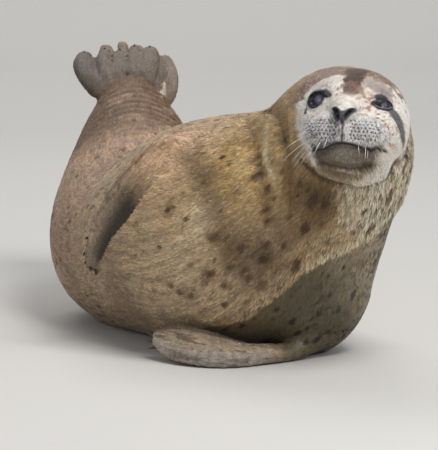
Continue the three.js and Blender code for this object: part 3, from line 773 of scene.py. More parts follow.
V, T, new = divide(V, T, want_rolls)
V[new] = settle(V[new], skin_fine, 2, 1.5)
for want in ((want_face, want_muzzle, want_rims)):
    V, T, new = divide(V, T, want)
    if len(new):
        V[new] = settle(V[new], skin_fine, 3, 1.2)
near_face = length(V - HEAD) < 128
V[near_face] = settle(V[near_face], skin_fine, 2, 0.6, 0.25)
V[:, 2] = np.maximum(V[:, 2], 0.25)
N = vertex_normals(V, T)


# ------------------------------------------------------------------ lie of the coat
def face_edge(U):
    """How far forward the pale face begins on the animal's right, by height."""
    return np.interp(U, [-60, -38, -26, -10, 6, 22, 41, 60], [44, 43, 42, 40, 37, 30, 16, 4])


def survey(p, n):
    """For points of the skin: how much each belongs to the head or a limb, the way the hair
    lies, and coordinates in which every hair runs along the first axis."""
    m = len(p)
    s, u, v, Tt, l, a = (np.zeros(m), np.zeros(m), np.zeros(m), np.zeros((m, 3)), np.zeros((m, 3)), np.zeros(m))
    for i in range(0, m, 15000):
        k = slice(i, i + 15000)
        s[k], u[k], v[k], Tt[k], l[k], a[k] = trunk.place(p[k])
    d, dt, dh, limb = flesh(p, fine=False, parts=True)
    q = to_head(p)
    r = length(p - HEAD)
    head = np.where(r < 128, step((dt - dh + 5) / 8), 0.0)
    head = np.where((q[:, 0] < -40), 0.0, head)
    side_w = step((q[:, 0] + 28) / 22) * step((q[:, 2] + 58) / 22) * (r < 128)
    side_w = side_w * np.where(q[:, 1] > 0, 1.0, step((q[:, 0] - face_edge(q[:, 2]) + 14) / 10))
    head = np.maximum(head, side_w)
    nose = np.array([104, -2, -14.0])
    out = nrm(q - nose) + np.array([-0.5, 0, 0])
    lie = mix(Tt, nrm(out) @ HEAD_M, head[:, None])
    straight = np.stack([s, u * a, v * a], -1)
    qn = q - nose
    rn = length(qn)
    hs = nrm(qn) * 62.0
    # on the head the hairs fan out from the nose
    fan = np.stack([rn, hs[:, 1] * 1.3, hs[:, 2] * 1.3], -1)
    straight = np.where(head[:, None] > 0.5, fan + 500, straight)
    part = np.where(head > 0.5, 1, 0)
    along = s / trunk.total
    across = np.arctan2(v, u) / (2 * math.pi) + 0.5
    best = np.full(m, 1e9)
    limbs = [(2, fore_r, [fore_r]), (3, fore_l, [fore_l])]
    for code, name in ((4, "hind_flipper_right"), (5, "hind_flipper_left")):
        limbs.append((code, feet[name][0][2], feet[name][0]))
    limbs.append((6, tail, [tail]))
    for code, main, chains in limbs:
        lo_, hi_ = np.min([c.lo for c in chains], 0) - 12, np.max([c.hi for c in chains], 0) + 12
        box = ((p > lo_) & (p < hi_)).all(1)
        if not box.any():
            continue
        ix = np.where(box)[0]
        dd = np.min([c.d(p[ix]) for c in chains], 0)
        on = (dd < best[ix]) & (dd < dt[ix] - 1.0) & (dd < 9)
        ix = ix[on]
        if not len(ix):
            continue
        best[ix] = dd[on]
        part[ix] = code
        s_, u_, v_, T_, l_, a_ = main.place(p[ix], 6.0)
        w = step((dt[ix] - dd[on]) / 12)[:, None]
        lie[ix] = mix(lie[ix], T_, w)
        straight[ix] = np.stack([s_ + 1000 * code, u_ * a_, v_ * a_], -1)
        along[ix] = np.clip(s_ / main.total, 0, 1)
        uu = np.clip(u_, -2.6, 2.6) / 5.2 if code in (4, 5) else np.clip(u_, -1.1, 1.1) / 2.2
        top = (n[ix] * np.cross(T_, l_)).sum(1) > 0
        across[ix] = np.where(top, 0.25, 0.75) + uu * 0.48
    lie = lie - n * (lie * n).sum(1)[:, None]
    lie = nrm(lie + 1e-9)
    # the azimuthal chart of the head: how far round from the snout, and which way
    ang = np.arccos(np.clip(nrm(q)[:, 0], -1, 1)) / math.pi
    ph = np.arctan2(q[:, 2], q[:, 1])
    hx, hy = 0.5 + 0.62 * ang * np.cos(ph), 0.5 + 0.62 * ang * np.sin(ph)
    along = np.where(part == 1, hy, along)
    across = np.where(part == 1, hx, across)
    return dict(part=part, head=head, lie=lie, straight=straight, s=s, along=along, across=across, dt=dt, limb=limb)


S = survey(V, N)

# ------------------------------------------------------------------ markings
def srgb(r, g, b):
    return np.array([r, g, b], float) / 255.0


def linear(c):
    c = np.clip(c, 0, 1)
    return np.where(c <= 0.04045, c / 12.92, ((c + 0.055) / 1.055) ** 2.4)


def paint(col, new, w):
    return col + (np.asarray(new) - col) * np.clip(w, 0, 1)[:, None]


# height of the waterline across the breast, against x
WET_X = [-260, -200, -120, -60, 10, 41, 74, 110, 145, 180, 204, 225, 260]
WET_Z = [0, 6, 20, 30, 53, 71, 98, 132, 150, 163, 180, 203, 232]


def above_wet(p):
    """Roughly how far above the edge of the wet fur, in mm; negative where wet."""
    z = np.interp(p[:, 0], WET_X, WET_Z)
    z = z - np.clip(p[:, 1] - 60, 0, 500) * 0.12
    ragged = np.clip((p[:, 1] - 40) / 60, 0, 1) * (34 * (noise(p, 55, 23) - 0.5) + 14 * (noise(p, 17, 24) - 0.5))
    return (p[:, 2] - z) * 0.8 + ragged + 5 * (noise(p, 24, 21) - 0.5) + 3 * (noise(p, 7, 22) - 0.5)


# the coat's dark spots, listed one by one: x, y, z, radius, strength
SPOTS = np.array([
    (-44, 115, 288, 3.0, 0.9), (-52, 135, 287, 2.0, 0.7), (13, 72, 307, 2.5, 0.8), (30, 68, 314, 1.8, 0.5),
    (-92, 73, 260, 2.0, 0.9), (-88, 82, 271, 1.6, 0.4), (-63, 78, 270, 1.6, 0.5), (-18, 45, 278, 2.5, 0.7),
    (9, 13, 277, 3.0, 0.9), (18, -3, 269, 2.3, 0.7), (40, 12, 300, 3.3, 0.5), (-4, 58, 294, 2.0, 0.4),
    (54, -21, 282, 2.5, 0.6), (55, -27, 273, 3.3, 0.7), (53, -33, 260, 4.3, 0.8), (75, -41, 280, 3.5, 0.8),
    (70, -41, 264, 1.8, 1.0), (87, -46, 309, 5.1, 0.8), (-20, 7, 245, 3.3, 0.6), (67, -45, 246, 4.3, 0.6),
    (77, -51, 232, 2.8, 0.6), (28, -30, 237, 3.3, 0.4), (64, -48, 217, 3.3, 0.9), (66, -50, 202, 3.0, 0.9),
    (-66, 26, 204, 3.5, 0.8), (-57, 19, 209, 3.0, 0.6), (-40, -2, 197, 3.5, 0.7), (-36, -10, 179, 2.5, 0.4),
    (-76, 25, 155, 2.8, 0.9), (-3, -30, 177, 4.3, 0.6), (12, -36, 177, 4.3, 0.5), (65, -49, 171, 3.5, 0.6),
    (87, -50, 170, 2.8, 0.6), (8, -33, 192, 3.3, 0.3), (85, -50, 267, 3.0, 0.6), (126, -62, 232, 5.9, 0.9),
    (141, -62, 230, 5.3, 0.9), (106, -59, 237, 2.2, 1.0), (110, -62, 254, 3.1, 0.7), (119, -63, 245, 2.2, 0.7),
    (96, -55, 208, 2.5, 0.7), (116, -53, 193, 5.3, 1.0), (138, -53, 200, 3.1, 0.6), (192, -45, 220, 3.1, 0.9),
    (201, -22, 197, 5.3, 0.8), (188, -36, 200, 1.9, 0.8), (179, -33, 188, 2.8, 0.6), (211, -41, 239, 3.8, 0.5),
    (196, -21, 188, 3.1, 0.7), (65, -49, 172, 3.8, 0.7), (88, -50, 169, 2.8, 0.7), (32, -43, 163, 5.3, 0.6),
    (61, -46, 152, 5.0, 0.9), (104, -42, 145, 4.7, 0.8), (144, -42, 175, 3.4, 0.5), (18, -35, 136, 4.1, 0.6),
    (36, -39, 133, 4.1, 0.7), (41, -37, 123, 3.4, 0.8), (11, -26, 112, 3.4, 0.6), (59, -36, 115, 6.3, 0.5),
    (10, -11, 83, 3.1, 0.6), (167, -10, 136, 2.2, 0.9), (182, 23, 114, 2.0, 0.8), (146, -18, 126, 2.2, 0.8),
    (138, -25, 130, 1.9, 0.7), (149, 3, 97, 2.2, 0.6), (139, -12, 110, 1.9, 0.6), (181, 38, 92, 4.4, 1.0),
    (208, 34, 149, 3.1, 0.8), (162, 31, 71, 3.4, 0.8), (155, 27, 69, 2.2, 0.7), (136, 15, 69, 3.8, 0.9),
    (127, 15, 63, 3.1, 0.8), (99, 7, 59, 5.3, 1.0), (78, -15, 79, 2.8, 0.8), (77, -27, 99, 2.5, 0.8),
    (98, -23, 99, 1.9, 0.5), (73, -4, 64, 2.2, 0.7), (120, 24, 47, 2.8, 0.7), (89, -8, 73, 1.9, 0.5),
    (-35, -10, 137, 3.0, 0.5), (-10, -23, 127, 4.6, 0.7), (-18, -14, 113, 4.3, 0.4), (-61, 21, 104, 3.3, 0.7),
    (-85, 54, 92, 4.3, 0.4), (-49, 14, 95, 4.3, 0.7), (-31, -2, 102, 2.1, 0.5), (-35, 5, 93, 3.7, 0.7),
    (-8, -10, 91, 2.4, 0.6), (10, -26, 113, 4.0, 0.7), (17, -27, 109, 2.7, 0.5), (10, -12, 83, 4.3, 0.8),
    (-4, -29, 146, 3.0, 0.6), (33, 6, 53, 3.0, 0.8), (11, 19, 46, 3.0, 0.8), (21, 5, 57, 2.1, 0.5),
    (66, 36, 27, 4.0, 0.9), (107, 26, 40, 3.7, 1.0), (121, 24, 47, 3.0, 0.8), (133, 39, 28, 4.0, 0.9),
    (118, 33, 26, 3.0, 0.8), (146, 42, 38, 2.7, 0.8), (-55, 38, 69, 2.7, 0.5), (109, -5, 78, 2.4, 0.4),
    (90, -9, 75, 1.8, 0.5), (-204, 315, 148, 4.1, 0.7), (-207, 380, 173, 2.2, 0.7), (-211, 423, 183, 1.9, 0.5),
    (-195, 316, 166, 1.6, 0.5), (-185, 277, 168, 1.9, 0.5), (-204, 285, 112, 3.0, 0.5), (-99, 54, 144, 2.2, 0.5),
    (-110, 72, 136, 2.2, 0.5), (-83, 50, 94, 2.6, 0.4), (-139, 252, 235, 1.9, 0.5), (-139, 504, 256, 2.2, 0.5),
    (-160, 469, 238, 2.6, 0.5), (-167, 456, 231, 2.2, 0.5), (-53, 36, 69, 2.2, 0.5),
], float)


def far_side_spots():
    """Spots like those of the breast for the sides turned away, one or none to a lattice cell."""
    g = np.stack(np.meshgrid(np.arange(-9, 11), np.arange(-5, 24), np.arange(0, 16), indexing="ij"), -1).reshape(-1, 3)
    r = [hash3(g[:, 0], g[:, 1], g[:, 2], k) for k in range(6)]
    p = (g + np.stack(r[:3], -1)) * 30.0
    keep = r[3] < 0.55
    p, size, dark = p[keep], 2.2 + 2.8 * r[4][keep] ** 2, 0.45 + 0.5 * r[5][keep]
    d = flesh(p, fine=False)
    near_skin = np.abs(d) < 14
    p, size, dark = p[near_skin], size[near_skin], dark[near_skin]
    p = settle(p, skin_rough, 4, 6.0)
    hidden = ((p[:, 1] > np.interp(p[:, 0], [-250, -150, 0, 260], [330, 200, 120, 70])) & (length(p - HEAD) > 120)) | (
        (length(p - HEAD) < 120) & (to_head(p)[:, 0] < -20)
    )
    hidden &= p[:, 1] < 640
    return np.column_stack([p, size, dark])[hidden]


ALL_SPOTS = np.vstack([SPOTS, far_side_spots()])

# whisker roots, in rows across each pad: head frame
FOLLICLES = []
for side in (-1, 1):
    for row in range(6):
        for c in range(8 - (row > 3) - (row == 0)):
            A = 9.5 + 5.1 * c + 2.2 * (row % 2)
            U = -21.0 - 4.7 * row - 0.05 * (A - 20) + (0.09 * (A - 30) if A > 30 else 0)
            FOLLICLES.append((side * A - 1.0, U, c, row, side))
FOLLICLES = np.array(FOLLICLES)


MOTTLES = np.array([
    (27, -41, 163, 19, 0.50), (-1, -31, 177, 11, 0.60), (56, -46, 155, 15, 0.55), (88, -53, 192, 19, 0.45),
    (119, -54, 199, 17, 0.45), (-11, -21, 124, 11, 0.60), (-43, 9, 96, 11, 0.45), (46, -36, 120, 17, 0.45),
    (-69, 71, 52, 13, 0.45), (136, -63, 232, 15, 0.60), (105, -42, 144, 8, 0.55), (14, -34, 137, 8, 0.45),
    (-60, 20, 103, 6, 0.40), (88, -45, 313, 9, 0.60), (54, -33, 261, 9, 0.65), (130, -62, 232, 12, 0.50),
    (113, -63, 253, 9, 0.60), (77, -43, 279, 7, 0.60), (66, -45, 243, 6, 0.50), (63, -48, 216, 6, 0.60),
    (113, -53, 194, 6, 0.60), (50, -20, 279, 8, 0.55), (-12, 10, 250, 16, 0.30), (20, 20, 290, 10, 0.30),
], float)


def grown_spots(p, lie, table, reach, stretch, soft):
    """How dark the spots of a table make each point; each is drawn out along the hair."""
    dark = np.zeros(len(p))
    wob = 1 + 0.7 * (noise(p, 3.6, 41) - 0.5) + 0.5 * (noise(p, 1.7, 42) - 0.5)
    for x in table:
        r = x[3] * reach
        e = p - x[:3]
        ix = np.where((np.abs(e) < r * 4.0).all(1))[0]
        if not len(ix):
            continue
        e = e[ix]
        al = (e * lie[ix]).sum(1)
        pr = length(e - lie[ix] * al[:, None])
        k = np.sqrt((al / stretch) ** 2 + pr**2) / (r * wob[ix])
        dark[ix] = np.maximum(dark[ix], x[4] * step((1 + soft - k) / (2 * soft)))
    return dark


# broad lighter and darker patches: x, y, z, reach, strength, colour; mostly the coat's own tone, with painted highlight
# and painted shade among them, as marked below
BRASS = srgb(244, 206, 144)
PALE, ROSY_HIGHLIGHT, GOLD, DUSK_AND_SHADE, DARK = srgb(232, 203, 164), srgb(214, 172, 142), srgb(206, 166, 104), srgb(128, 105, 78), srgb(98, 79, 54)
BROAD = [
    (-25, 76, 291, 60, 0.75, PALE), (-60, 40, 250, 50, 0.45, PALE), (-14, -18, 205, 40, 0.80, PALE),
    (-50, 0, 165, 42, 0.45, PALE), (20, 30, 150, 30, 0.25, PALE), (-85, 60, 200, 40, 0.40, PALE),
    # painted highlight: the white patch on the belly and the two rosy patches along the top of the back
    (-111, 478, 255, 60, 0.15, DUSK_AND_SHADE), (-18, -18, 205, 26, 0.50, srgb(246, 226, 196)), (-100, 112, 256, 60, 0.75, ROSY_HIGHLIGHT), (-55, 120, 285, 50, 0.70, ROSY_HIGHLIGHT), (15, 8, 286, 34, 0.75, GOLD),
    (47, -24, 277, 26, 0.85, BRASS), (30, -25, 245, 30, 0.55, GOLD), (75, -40, 262, 22, 0.55, BRASS),
    # painted shade: the first dusky patch below, low on the belly
    (-148, 150, 70, 62, 0.88, DUSK_AND_SHADE), (54, -52, 172, 34, 0.55, DUSK_AND_SHADE), (64, 10, 300, 22, 0.70, BRASS), (90, -50, 190, 30, 0.40, DUSK_AND_SHADE),
    (67, -49, 148, 26, 0.80, DARK), (28, -40, 132, 20, 0.40, DARK), (-133, 590, 292, 40, 0.35, DUSK_AND_SHADE),
    (120, -60, 222, 34, 0.40, DUSK_AND_SHADE), (-205, 330, 90, 80, 0.40, DUSK_AND_SHADE),
]


def body_colour(p, n, st):
    m = len(p)
    big, med = fractal(p, 70, 1), fractal(p, 22, 5)
    fine = noise(p, 2.6, 9)
    s = st["s"]
    hair = st["straight"]
    streak = noise(hair, (17, 2.2, 2.2), 11)
    band = noise(hair, (60, 8, 8), 12)
    col = np.repeat(srgb(190, 164, 130)[None], m, 0)
    gold = bell(s - 140, 150) * step((p[:, 2] - 130) / 110)
    col = paint(col, srgb(180, 147, 98), gold * 0.8)
    rear = step((s - 400) / 140)
    col = paint(col, srgb(174, 142, 116), rear)
    col = paint(col, srgb(96, 69, 47), rear * step((s - 640) / 110) * 0.92)
    low = step((80 - p[:, 2]) / 60)
    col = paint(col, srgb(142, 120, 92), low * 0.6)
    dorsal = step((p[:, 1] - 60) / 180) * step((p[:, 2] - 150) / 90) * step((560 - p[:, 1]) / 200)
    col = paint(col, srgb(122, 104, 84), dorsal * 0.4 * step((n[:, 1] + 0.2) / 0.7))
    for x, y, z, r, k, tint in BROAD:
        col = paint(col, tint, k * bell(length(p - np.array([x, y, z])), r))
    col = col * (1 + 0.22 * (big - 0.5) + 0.24 * (med - 0.5) + 0.08 * (fine - 0.5) + 0.32 * (streak - 0.5) + 0.14 * (band - 0.5))[:, None]
    col = paint(col, srgb(128, 100, 68), step((med - 0.60) / 0.14) * 0.45 * (1 - rear))
    col = paint(col, srgb(212, 192, 162), step((0.42 - med) / 0.14) * 0.35)
    # grey-brown clouds on the breast and neck
    clouds = grown_spots(p, st["lie"], MOTTLES, 1.0, 1.25, 0.75)
    col = paint(col, srgb(108, 86, 62), clouds * (0.75 + 0.7 * (med - 0.5)))
    # painted shade on the throat under the jowl, and the pale ruff beside it, with painted shade in the gaps between
    # its clumps
    col = paint(col, srgb(88, 66, 38), bell(length((p - np.array([142, -50, 236])) * np.array([1, 0.6, 1.2])), 46) * 0.76)
    ruff = step((p[:, 0] - 150) / 45) * step((p[:, 2] - 150) / 50) * step((70 - p[:, 1]) / 60)
    clump = noise(p, (5, 5, 11), 33)
    col = paint(col, srgb(200, 187, 166), ruff * np.clip(0.5 + 1.2 * (clump - 0.35), 0, 1))
    col = paint(col, srgb(84, 68, 50), ruff * step((0.32 - clump) / 0.12) * 0.7)
    # below the chin, to the animal's left, the fur is cream like the jowl
    bib = step((p[:, 0] - 140) / 35) * step((p[:, 2] - 160) / 40) * step((285 - p[:, 2]) / 20) * step((30 - p[:, 1]) / 40)
    col = paint(col, srgb(220, 206, 180), bib * (0.50 + 1.0 * (clump - 0.35)))
    # a cream line on the roll beside the neck's first furrow, a painted highlight along the roll
    k = along_path(p, ((64, -8, 332), (65, -14, 322), (64, -24, 309), (62, -30, 287), (67, -42, 271), (73, -50, 260)), (3.0, 5.0, 6.5, 6.0, 5.0, 3.0))
    col = paint(col, srgb(242, 226, 192), step((1.5 - k) / 1.1) * (0.78 + 0.5 * (streak - 0.5)))
    # painted highlight on the tops of the neck's rolls, and painted shade in its furrows
    g = fold_depth(p)
    col = paint(col, srgb(104, 80, 52), np.clip(g / 4.0, 0, 1) * 0.55)
    col = paint(col, srgb(214, 190, 148), np.clip(-g / 2.4, 0, 1) * 0.40)
    ring, hips, (wa, wb) = wrinkles(p)
    on = (st["part"] == 0) * 1.0
    # painted shade in the grooves of the ankle rings and hip wrinkles, and painted highlight on the crests of the rings
    col = paint(col, srgb(92, 70, 54), on * ring * wa * 0.50)
    col = paint(col, srgb(206, 174, 146), on * ring * (1 - wa) ** 4 * 0.22)
    col = paint(col, srgb(104, 80, 64), on * hips * wb * 0.5)
    # wet fur below the waterline
    aw = above_wet(p)
    base = (st["part"] < 2) + (st["part"] == 3) * step((0.44 - st["along"]) / 0.16)
    wet = step(-aw / 4) * base * (1 - st["head"])
    # the wet fur is its own olive grey, made lighter towards +x by a painted sheen
    wet_tone_and_sheen = mix(srgb(99, 90, 67), srgb(152, 136, 111), step((p[:, 0] + 0.5 * (p[:, 2] - 100) - 130) / 80)[:, None])
    wet_tone_and_sheen = mix(srgb(122, 102, 76), wet_tone_and_sheen, step((p[:, 0] - 5) / 90)[:, None])
    wet_tone_and_sheen = wet_tone_and_sheen * (1 + 0.20 * (med - 0.5) + 0.16 * (noise(st["straight"], (46, 3.4, 3.4), 31) - 0.5))[:, None]
    col = paint(col, wet_tone_and_sheen, wet)
    fringe = bell(aw - 5, 4.5) * step((p[:, 0] - 95) / 50) * (st["part"] < 2)
    col = paint(col, srgb(226, 210, 182), fringe * 0.65)
    # painted shadow of the fringe: a dark line just below the waterline
    col = paint(col, srgb(92, 74, 54), bell(aw + 0.5, 1.5) * step((p[:, 0] + 60) / 60) * (st["part"] < 2) * 0.5)
    # spots, and small freckles between them
    dark = grown_spots(p, st["lie"], ALL_SPOTS, 1.05, 1.6, 0.42)
    fr = noise(p, 6.0, 51)
    dark = np.maximum(dark, step((fr - 0.87) / 0.07) * 0.55 * (1 - rear * 0.5))
    dark = np.clip(dark * base * (1 + 0.3 * wet), 0, 1)
    col = paint(col, mix(srgb(74, 53, 37), srgb(46, 38, 32), wet[:, None]), dark * 0.9)
    return col, wet, med, dark


def limb_colour(p, n, st, col, med):
    part, al, ac = st["part"], st["along"], st["across"]
    side = (ac % 0.5 - 0.25) / 0.218
    lt = fractal(st["straight"], (60, 5, 5), 61, 2)
    grain = (0.84 + 0.34 * lt)[:, None]
    f = (part == 2) * step((al - 0.05) / 0.25)
    c = srgb(170, 148, 126) * grain
    # painted shade over the flipper's lower side, darkest towards its lower edge
    c = paint(c, srgb(48, 40, 31), step((side + 0.40) / 0.85) * step((0.98 - al) / 0.2) * 0.92)
    c = paint(c, srgb(96, 84, 74), step((al - 0.86) / 0.12) * 0.6)
    # painted highlight along the flipper's thin upper edge
    c = paint(c, srgb(216, 196, 172), step((-0.72 - side) / 0.16) * 0.8)
    c = paint(c, srgb(80, 66, 52), step((noise(p, 7, 55) - 0.70) / 0.1) * 0.4)
    col = paint(col, c, f)
    f = (part == 3) * step((al - 0.34) / 0.16)
    c = srgb(176, 156, 133) * grain
    c = paint(c, srgb(92, 74, 58), step((-side - 0.3) / 0.5) * 0.7)
    c = paint(c, srgb(150, 144, 140), step((side - 0.1) / 0.5) * 0.75)
    c = paint(c, srgb(88, 76, 66), step((lt - 0.54) / 0.12) * 0.6)
    c = paint(c, srgb(196, 182, 164), step((0.40 - lt) / 0.12) * 0.45)
    c = paint(c, srgb(74, 63, 55), step((al - 0.90) / 0.1) * step((-side - 0.1) / 0.4) * 0.6)
    c = paint(c, srgb(214, 200, 180), step((al - 0.76) / 0.16) * step((side + 0.1) / 0.4) * 0.45)
    col = paint(col, c, f)
    f = ((part == 4) | (part == 5)) * 1.0
    c = srgb(114, 101, 90) * grain * (1 + 0.16 * (part == 5))[:, None]
    # painted shade on the outer digit of the right hind flipper
    c = paint(c, srgb(96, 88, 80), (part == 4) * step((-p[:, 0] - 160) / 16) * 0.75)
    c = paint(c, srgb(84, 74, 66), step((lt - 0.56) / 0.14) * 0.45)
    c = paint(c, srgb(92, 74, 60), step((noise(p, (9, 30, 9), 56) - 0.66) / 0.12) * 0.35)
    c = paint(c, srgb(204, 172, 152), step((al - 0.88) / 0.10) * 0.55)
    c = paint(c, srgb(93, 68, 45), step((0.24 - al) / 0.22) * 0.85)
    col = paint(col, c, f)
    c = srgb(196, 180, 162) * (0.75 + 0.5 * lt)[:, None]
    return paint(col, c, (part == 6) * 1.0)


def along_path(q, path, widths):
    """Distance to a broken line in the head frame, as a share of its width there."""
    k = np.full(len(q), 9.0)
    path = np.array(path, float)
    for i, (a, b) in enumerate(zip(path[:-1], path[1:])):
        ab = b - a
        t = np.clip(((q - a) @ ab) / (ab @ ab), 0, 1)
        w = widths[i] + (widths[i + 1] - widths[i]) * t
        k = np.minimum(k, length(q - a - t[:, None] * ab) / w)
    return k


def mouth_line(L):
    return -49.5 - 4.5 * step(np.abs(L) / 30) + 4 * step((np.abs(L) - 34) / 14) - 3.0 * step((-L - 6) / 22)


def head_colour(q, p, st):
    F, L, U = q.T
    m = len(q)
    sp, sp2, sp3 = noise(q, 2.6, 71), noise(q, 5.5, 72), noise(q, 1.5, 73)
    h = srgb(245, 238, 229) * (0.90 + 0.20 * sp)[:, None]
    h = paint(h, srgb(176, 158, 140), step((sp2 - 0.55) / 0.2) * 0.25)
    # brown crown and temples
    crown = step((U + 0.30 * F - np.interp(np.abs(L), [0, 15, 40, 57, 68, 78], [55, 54, 47, 37, 20, 10]) + 12 * (sp2 - 0.5) + 6 * (sp - 0.5)) / 7)
    temple = step((-F + 20 + 12 * (sp2 - 0.5)) / 30) * step((U + 14) / 30) * step((62 - np.abs(L)) / 22)
    cr = np.maximum(crown, temple * 0.8)
    brown = srgb(115, 91, 76) * (0.80 + 0.4 * sp)[:, None]
    brown = paint(brown, srgb(214, 202, 190), step((sp3 - 0.64) / 0.1) * 0.45)
    h = paint(h, brown, cr * 0.94)
    # a pale patch over each eye, and a dark wedge between them down to the snout
    for c0, c1, w, tint in (((42, -50, 35), (60, -16, 44), 8.5, srgb(220, 211, 203)), ((62, 16, 39), (52, 47, 31), 12.0, srgb(170, 160, 154))):
        k = along_path(q, (c0, c1), (w, w)) / (1 + 0.6 * (sp2 - 0.5) + 0.6 * (sp - 0.5))
        h = paint(h, tint, step((1.3 - k) / 0.45) * 0.95)
    wedge = step((12.0 + 0.12 * (U - 20) - np.abs(L - 3) + 8 * (sp2 - 0.5) + 5 * (sp - 0.5)) / 5) * step((U - 12) / 9) * step((F - 20) / 20)
    h = paint(h, srgb(68, 49, 39), wedge * 0.92)
    k = along_path(q, ((66, 2, 34), (72, 14, 24), (76, 20, 15)), (5.0, 3.6, 2.0)) / (1 + 1.2 * (sp - 0.5))
    k = np.minimum(k, along_path(q, ((66, 0, 34), (73, -14, 28), (76, -22, 20)), (5.0, 3.2, 1.8)) / (1 + 1.2 * (sp - 0.5)))
    h = paint(h, srgb(128, 98, 80), step((1.2 - k) / 0.4) * 0.75)
    # rusty speckle round the snout and over the cheeks
    rust = step((noise(q, 2.9, 75) - 0.60) / 0.10)
    zone = bell(length(q - np.array([78, 28, 4])), 22) + bell(length(q - np.array([72, 54, -20])), 24)
    zone = zone + 0.7 * bell(length(q - np.array([78, -20, 14])), 18) + 0.8 * bell(length(q - np.array([70, -56, -22])), 16)
    zone = zone + 0.6 * bell(length(q - np.array([58, 60, -44])), 16)
    h = paint(h, srgb(160, 104, 72), np.clip(zone, 0, 1) * rust * 0.85)
    h = paint(h, srgb(184, 172, 165), bell(length(q - np.array([80, 2, 4])), 22) * 0.55)
    # whisker pads: salt and pepper, darker near the mouth and the nose; the pad on the animal's right is darkened all
    # over by painted shade
    pad = step((1.14 - length((np.stack([F, np.abs(L), U], -1) - np.array([88, 27, -36])) / np.array([30, 33, 24]))) / 0.3)
    grey = srgb(240, 237, 233) * (0.84 + 0.30 * sp)[:, None]
    dusk = np.clip(0.55 * step((-U - 44) / 8) + 0.52 * bell(L + 14, 11) * step((-U - 14) / 10) + 0.20 * (L < 0) + 0.5 * bell(length(q - np.array([98, 12, -30])), 7), 0, 1)
    dusk = dusk * mix(1.0, 0.45, step((L - 14) / 12))
    grey = paint(grey, srgb(108, 106, 112), dusk * (0.62 + 0.6 * (sp2 - 0.3)))
    grey = paint(grey, srgb(84, 82, 88), step((noise(q, (2.2, 1.5, 3.0), 77) - 0.62) / 0.10) * 0.55)
    h = paint(h, grey, pad * 0.94)
    # the lower lip and chin are olive grey; painted shade under the mouth and in the fold, then a cream roll under them
    Um = mouth_line(L)
    chin = step((Um + 1 - U) / 3) * step((F - 40) / 22) * step((U - Um + 30 - 7 * step(np.abs(L) / 40)) / 8) * step((50 - np.abs(L)) / 16)
    h = paint(h, srgb(118, 109, 93) * (0.80 + 0.40 * sp)[:, None], chin * 0.95)
    # painted shade just under the mouth
    h = paint(h, srgb(70, 62, 52), chin * bell(U - Um + 4, 5) * 0.75)
    h = paint(h, srgb(182, 170, 150), bell(length((q - np.array([96, 0, -64])) / np.array([1, 1.9, 0.5])), 8) * 0.5)
    Uf = -74 + 7 * step(np.abs(L) / 44)
    # painted shade in the fold under the chin
    h = paint(h, srgb(84, 64, 46), bell(U - Uf, 2.4) * step((F - 40) / 20) * step((46 - np.abs(L)) / 16) * 0.8)
    roll = step((Uf - 2 - U) / 4) * step((F - 8) / 20)
    cream = mix(srgb(154, 132, 102), srgb(208, 196, 177), step((L + 10) / 30)[:, None])
    h = paint(h, cream * (0.82 + 0.36 * sp)[:, None], roll * 0.9)
    # painted shade on the top of the roll, under the fold
    h = paint(h, srgb(98, 80, 60), roll * bell(U - Uf + 5, 6) * step((34 - np.abs(L + 3)) / 16) * 0.75)
    h = paint(h, srgb(226, 216, 202), step((L - 30) / 16) * step((-38 - U) / 14) * step((F - 20) / 30) * 0.7)
    h = paint(h, srgb(34, 29, 28), bell(U - Um, 1.6) * step((F - 42) / 12) * step((54 - np.abs(L)) / 6) * 0.95)
    h = paint(h, srgb(52, 46, 46), bell(L + 1.5, 1.3) * step((-20 - U) / 5) * step((U + 51) / 3) * step((F - 85) / 6) * 0.9)
    # dark stain of tears beside the half-shut eye, and painted shade along a fainter crease beside the other
    k = along_path(q, ((62, 52, 6), (57, 60, -2), (50, 67, -14), (40, 70.5, -28), (16, 68, -42), (-8, 63, -52), (-18, 56, -64)), (5.5, 7.4, 6.6, 4.4, 2.6, 2.0, 1.8))
    h = paint(h, srgb(92, 90, 96) * (0.84 + 0.32 * sp)[:, None], step((1.15 - k) / 0.30) * 0.94)
    h = paint(h, srgb(96, 62, 44), bell(k - 1.15, 0.22) * step((L - 62) / 5) * 0.5)
    k = along_path(q, ((60, -58, 2), (54, -65, -5), (50, -70, -18), (46, -71, -32), (44, -64, -46)), (3.2, 3.4, 2.2, 1.6, 1.2))
    h = paint(h, srgb(112, 104, 102), step((1.15 - k) / 0.5) * 0.75)
    for sgn in (-1, 1):  # ear openings
        k = length((q - np.array([25, 71.5 * sgn, 9])) / np.array([3.6, 9, 2.2]))
        h = paint(h, srgb(50, 40, 36), step((1.2 - k) / 0.4) * 0.9)
    # the far left of the face goes over to the gold of the neck, the far right to cream
    beyond = step((face_edge(U) - F + 5 + 6 * (sp2 - 0.5)) / 12) * step((-L - 50) / 14)
    h = paint(h, srgb(188, 156, 106) * (0.86 + 0.28 * sp2)[:, None], beyond * (1 - 0.5 * cr))
    h = paint(h, srgb(120, 92, 62), bell(F - face_edge(U) + 1, 3.2) * step((-L - 56) / 10) * step((20 - U) / 30) * 0.5)
    h = paint(h, srgb(240, 233, 222), step((38 - F) / 26) * step((L - 56) / 10) * step((22 - U) / 20) * 0.85)
    # dark skin round the eyes, bare lids and nose
    rim, nl = lid_rim(q), nose_leather(q)
    soft = np.zeros(m)
    for sgn in (-1, 1):
        r = q - EYE * np.array([1, sgn, 1]) - 14 * GAZE * np.array([1, sgn, 1]) - np.array([0, -sgn * 3.0, 4.0])
        soft = np.maximum(soft, bell(length(r), 13.5))
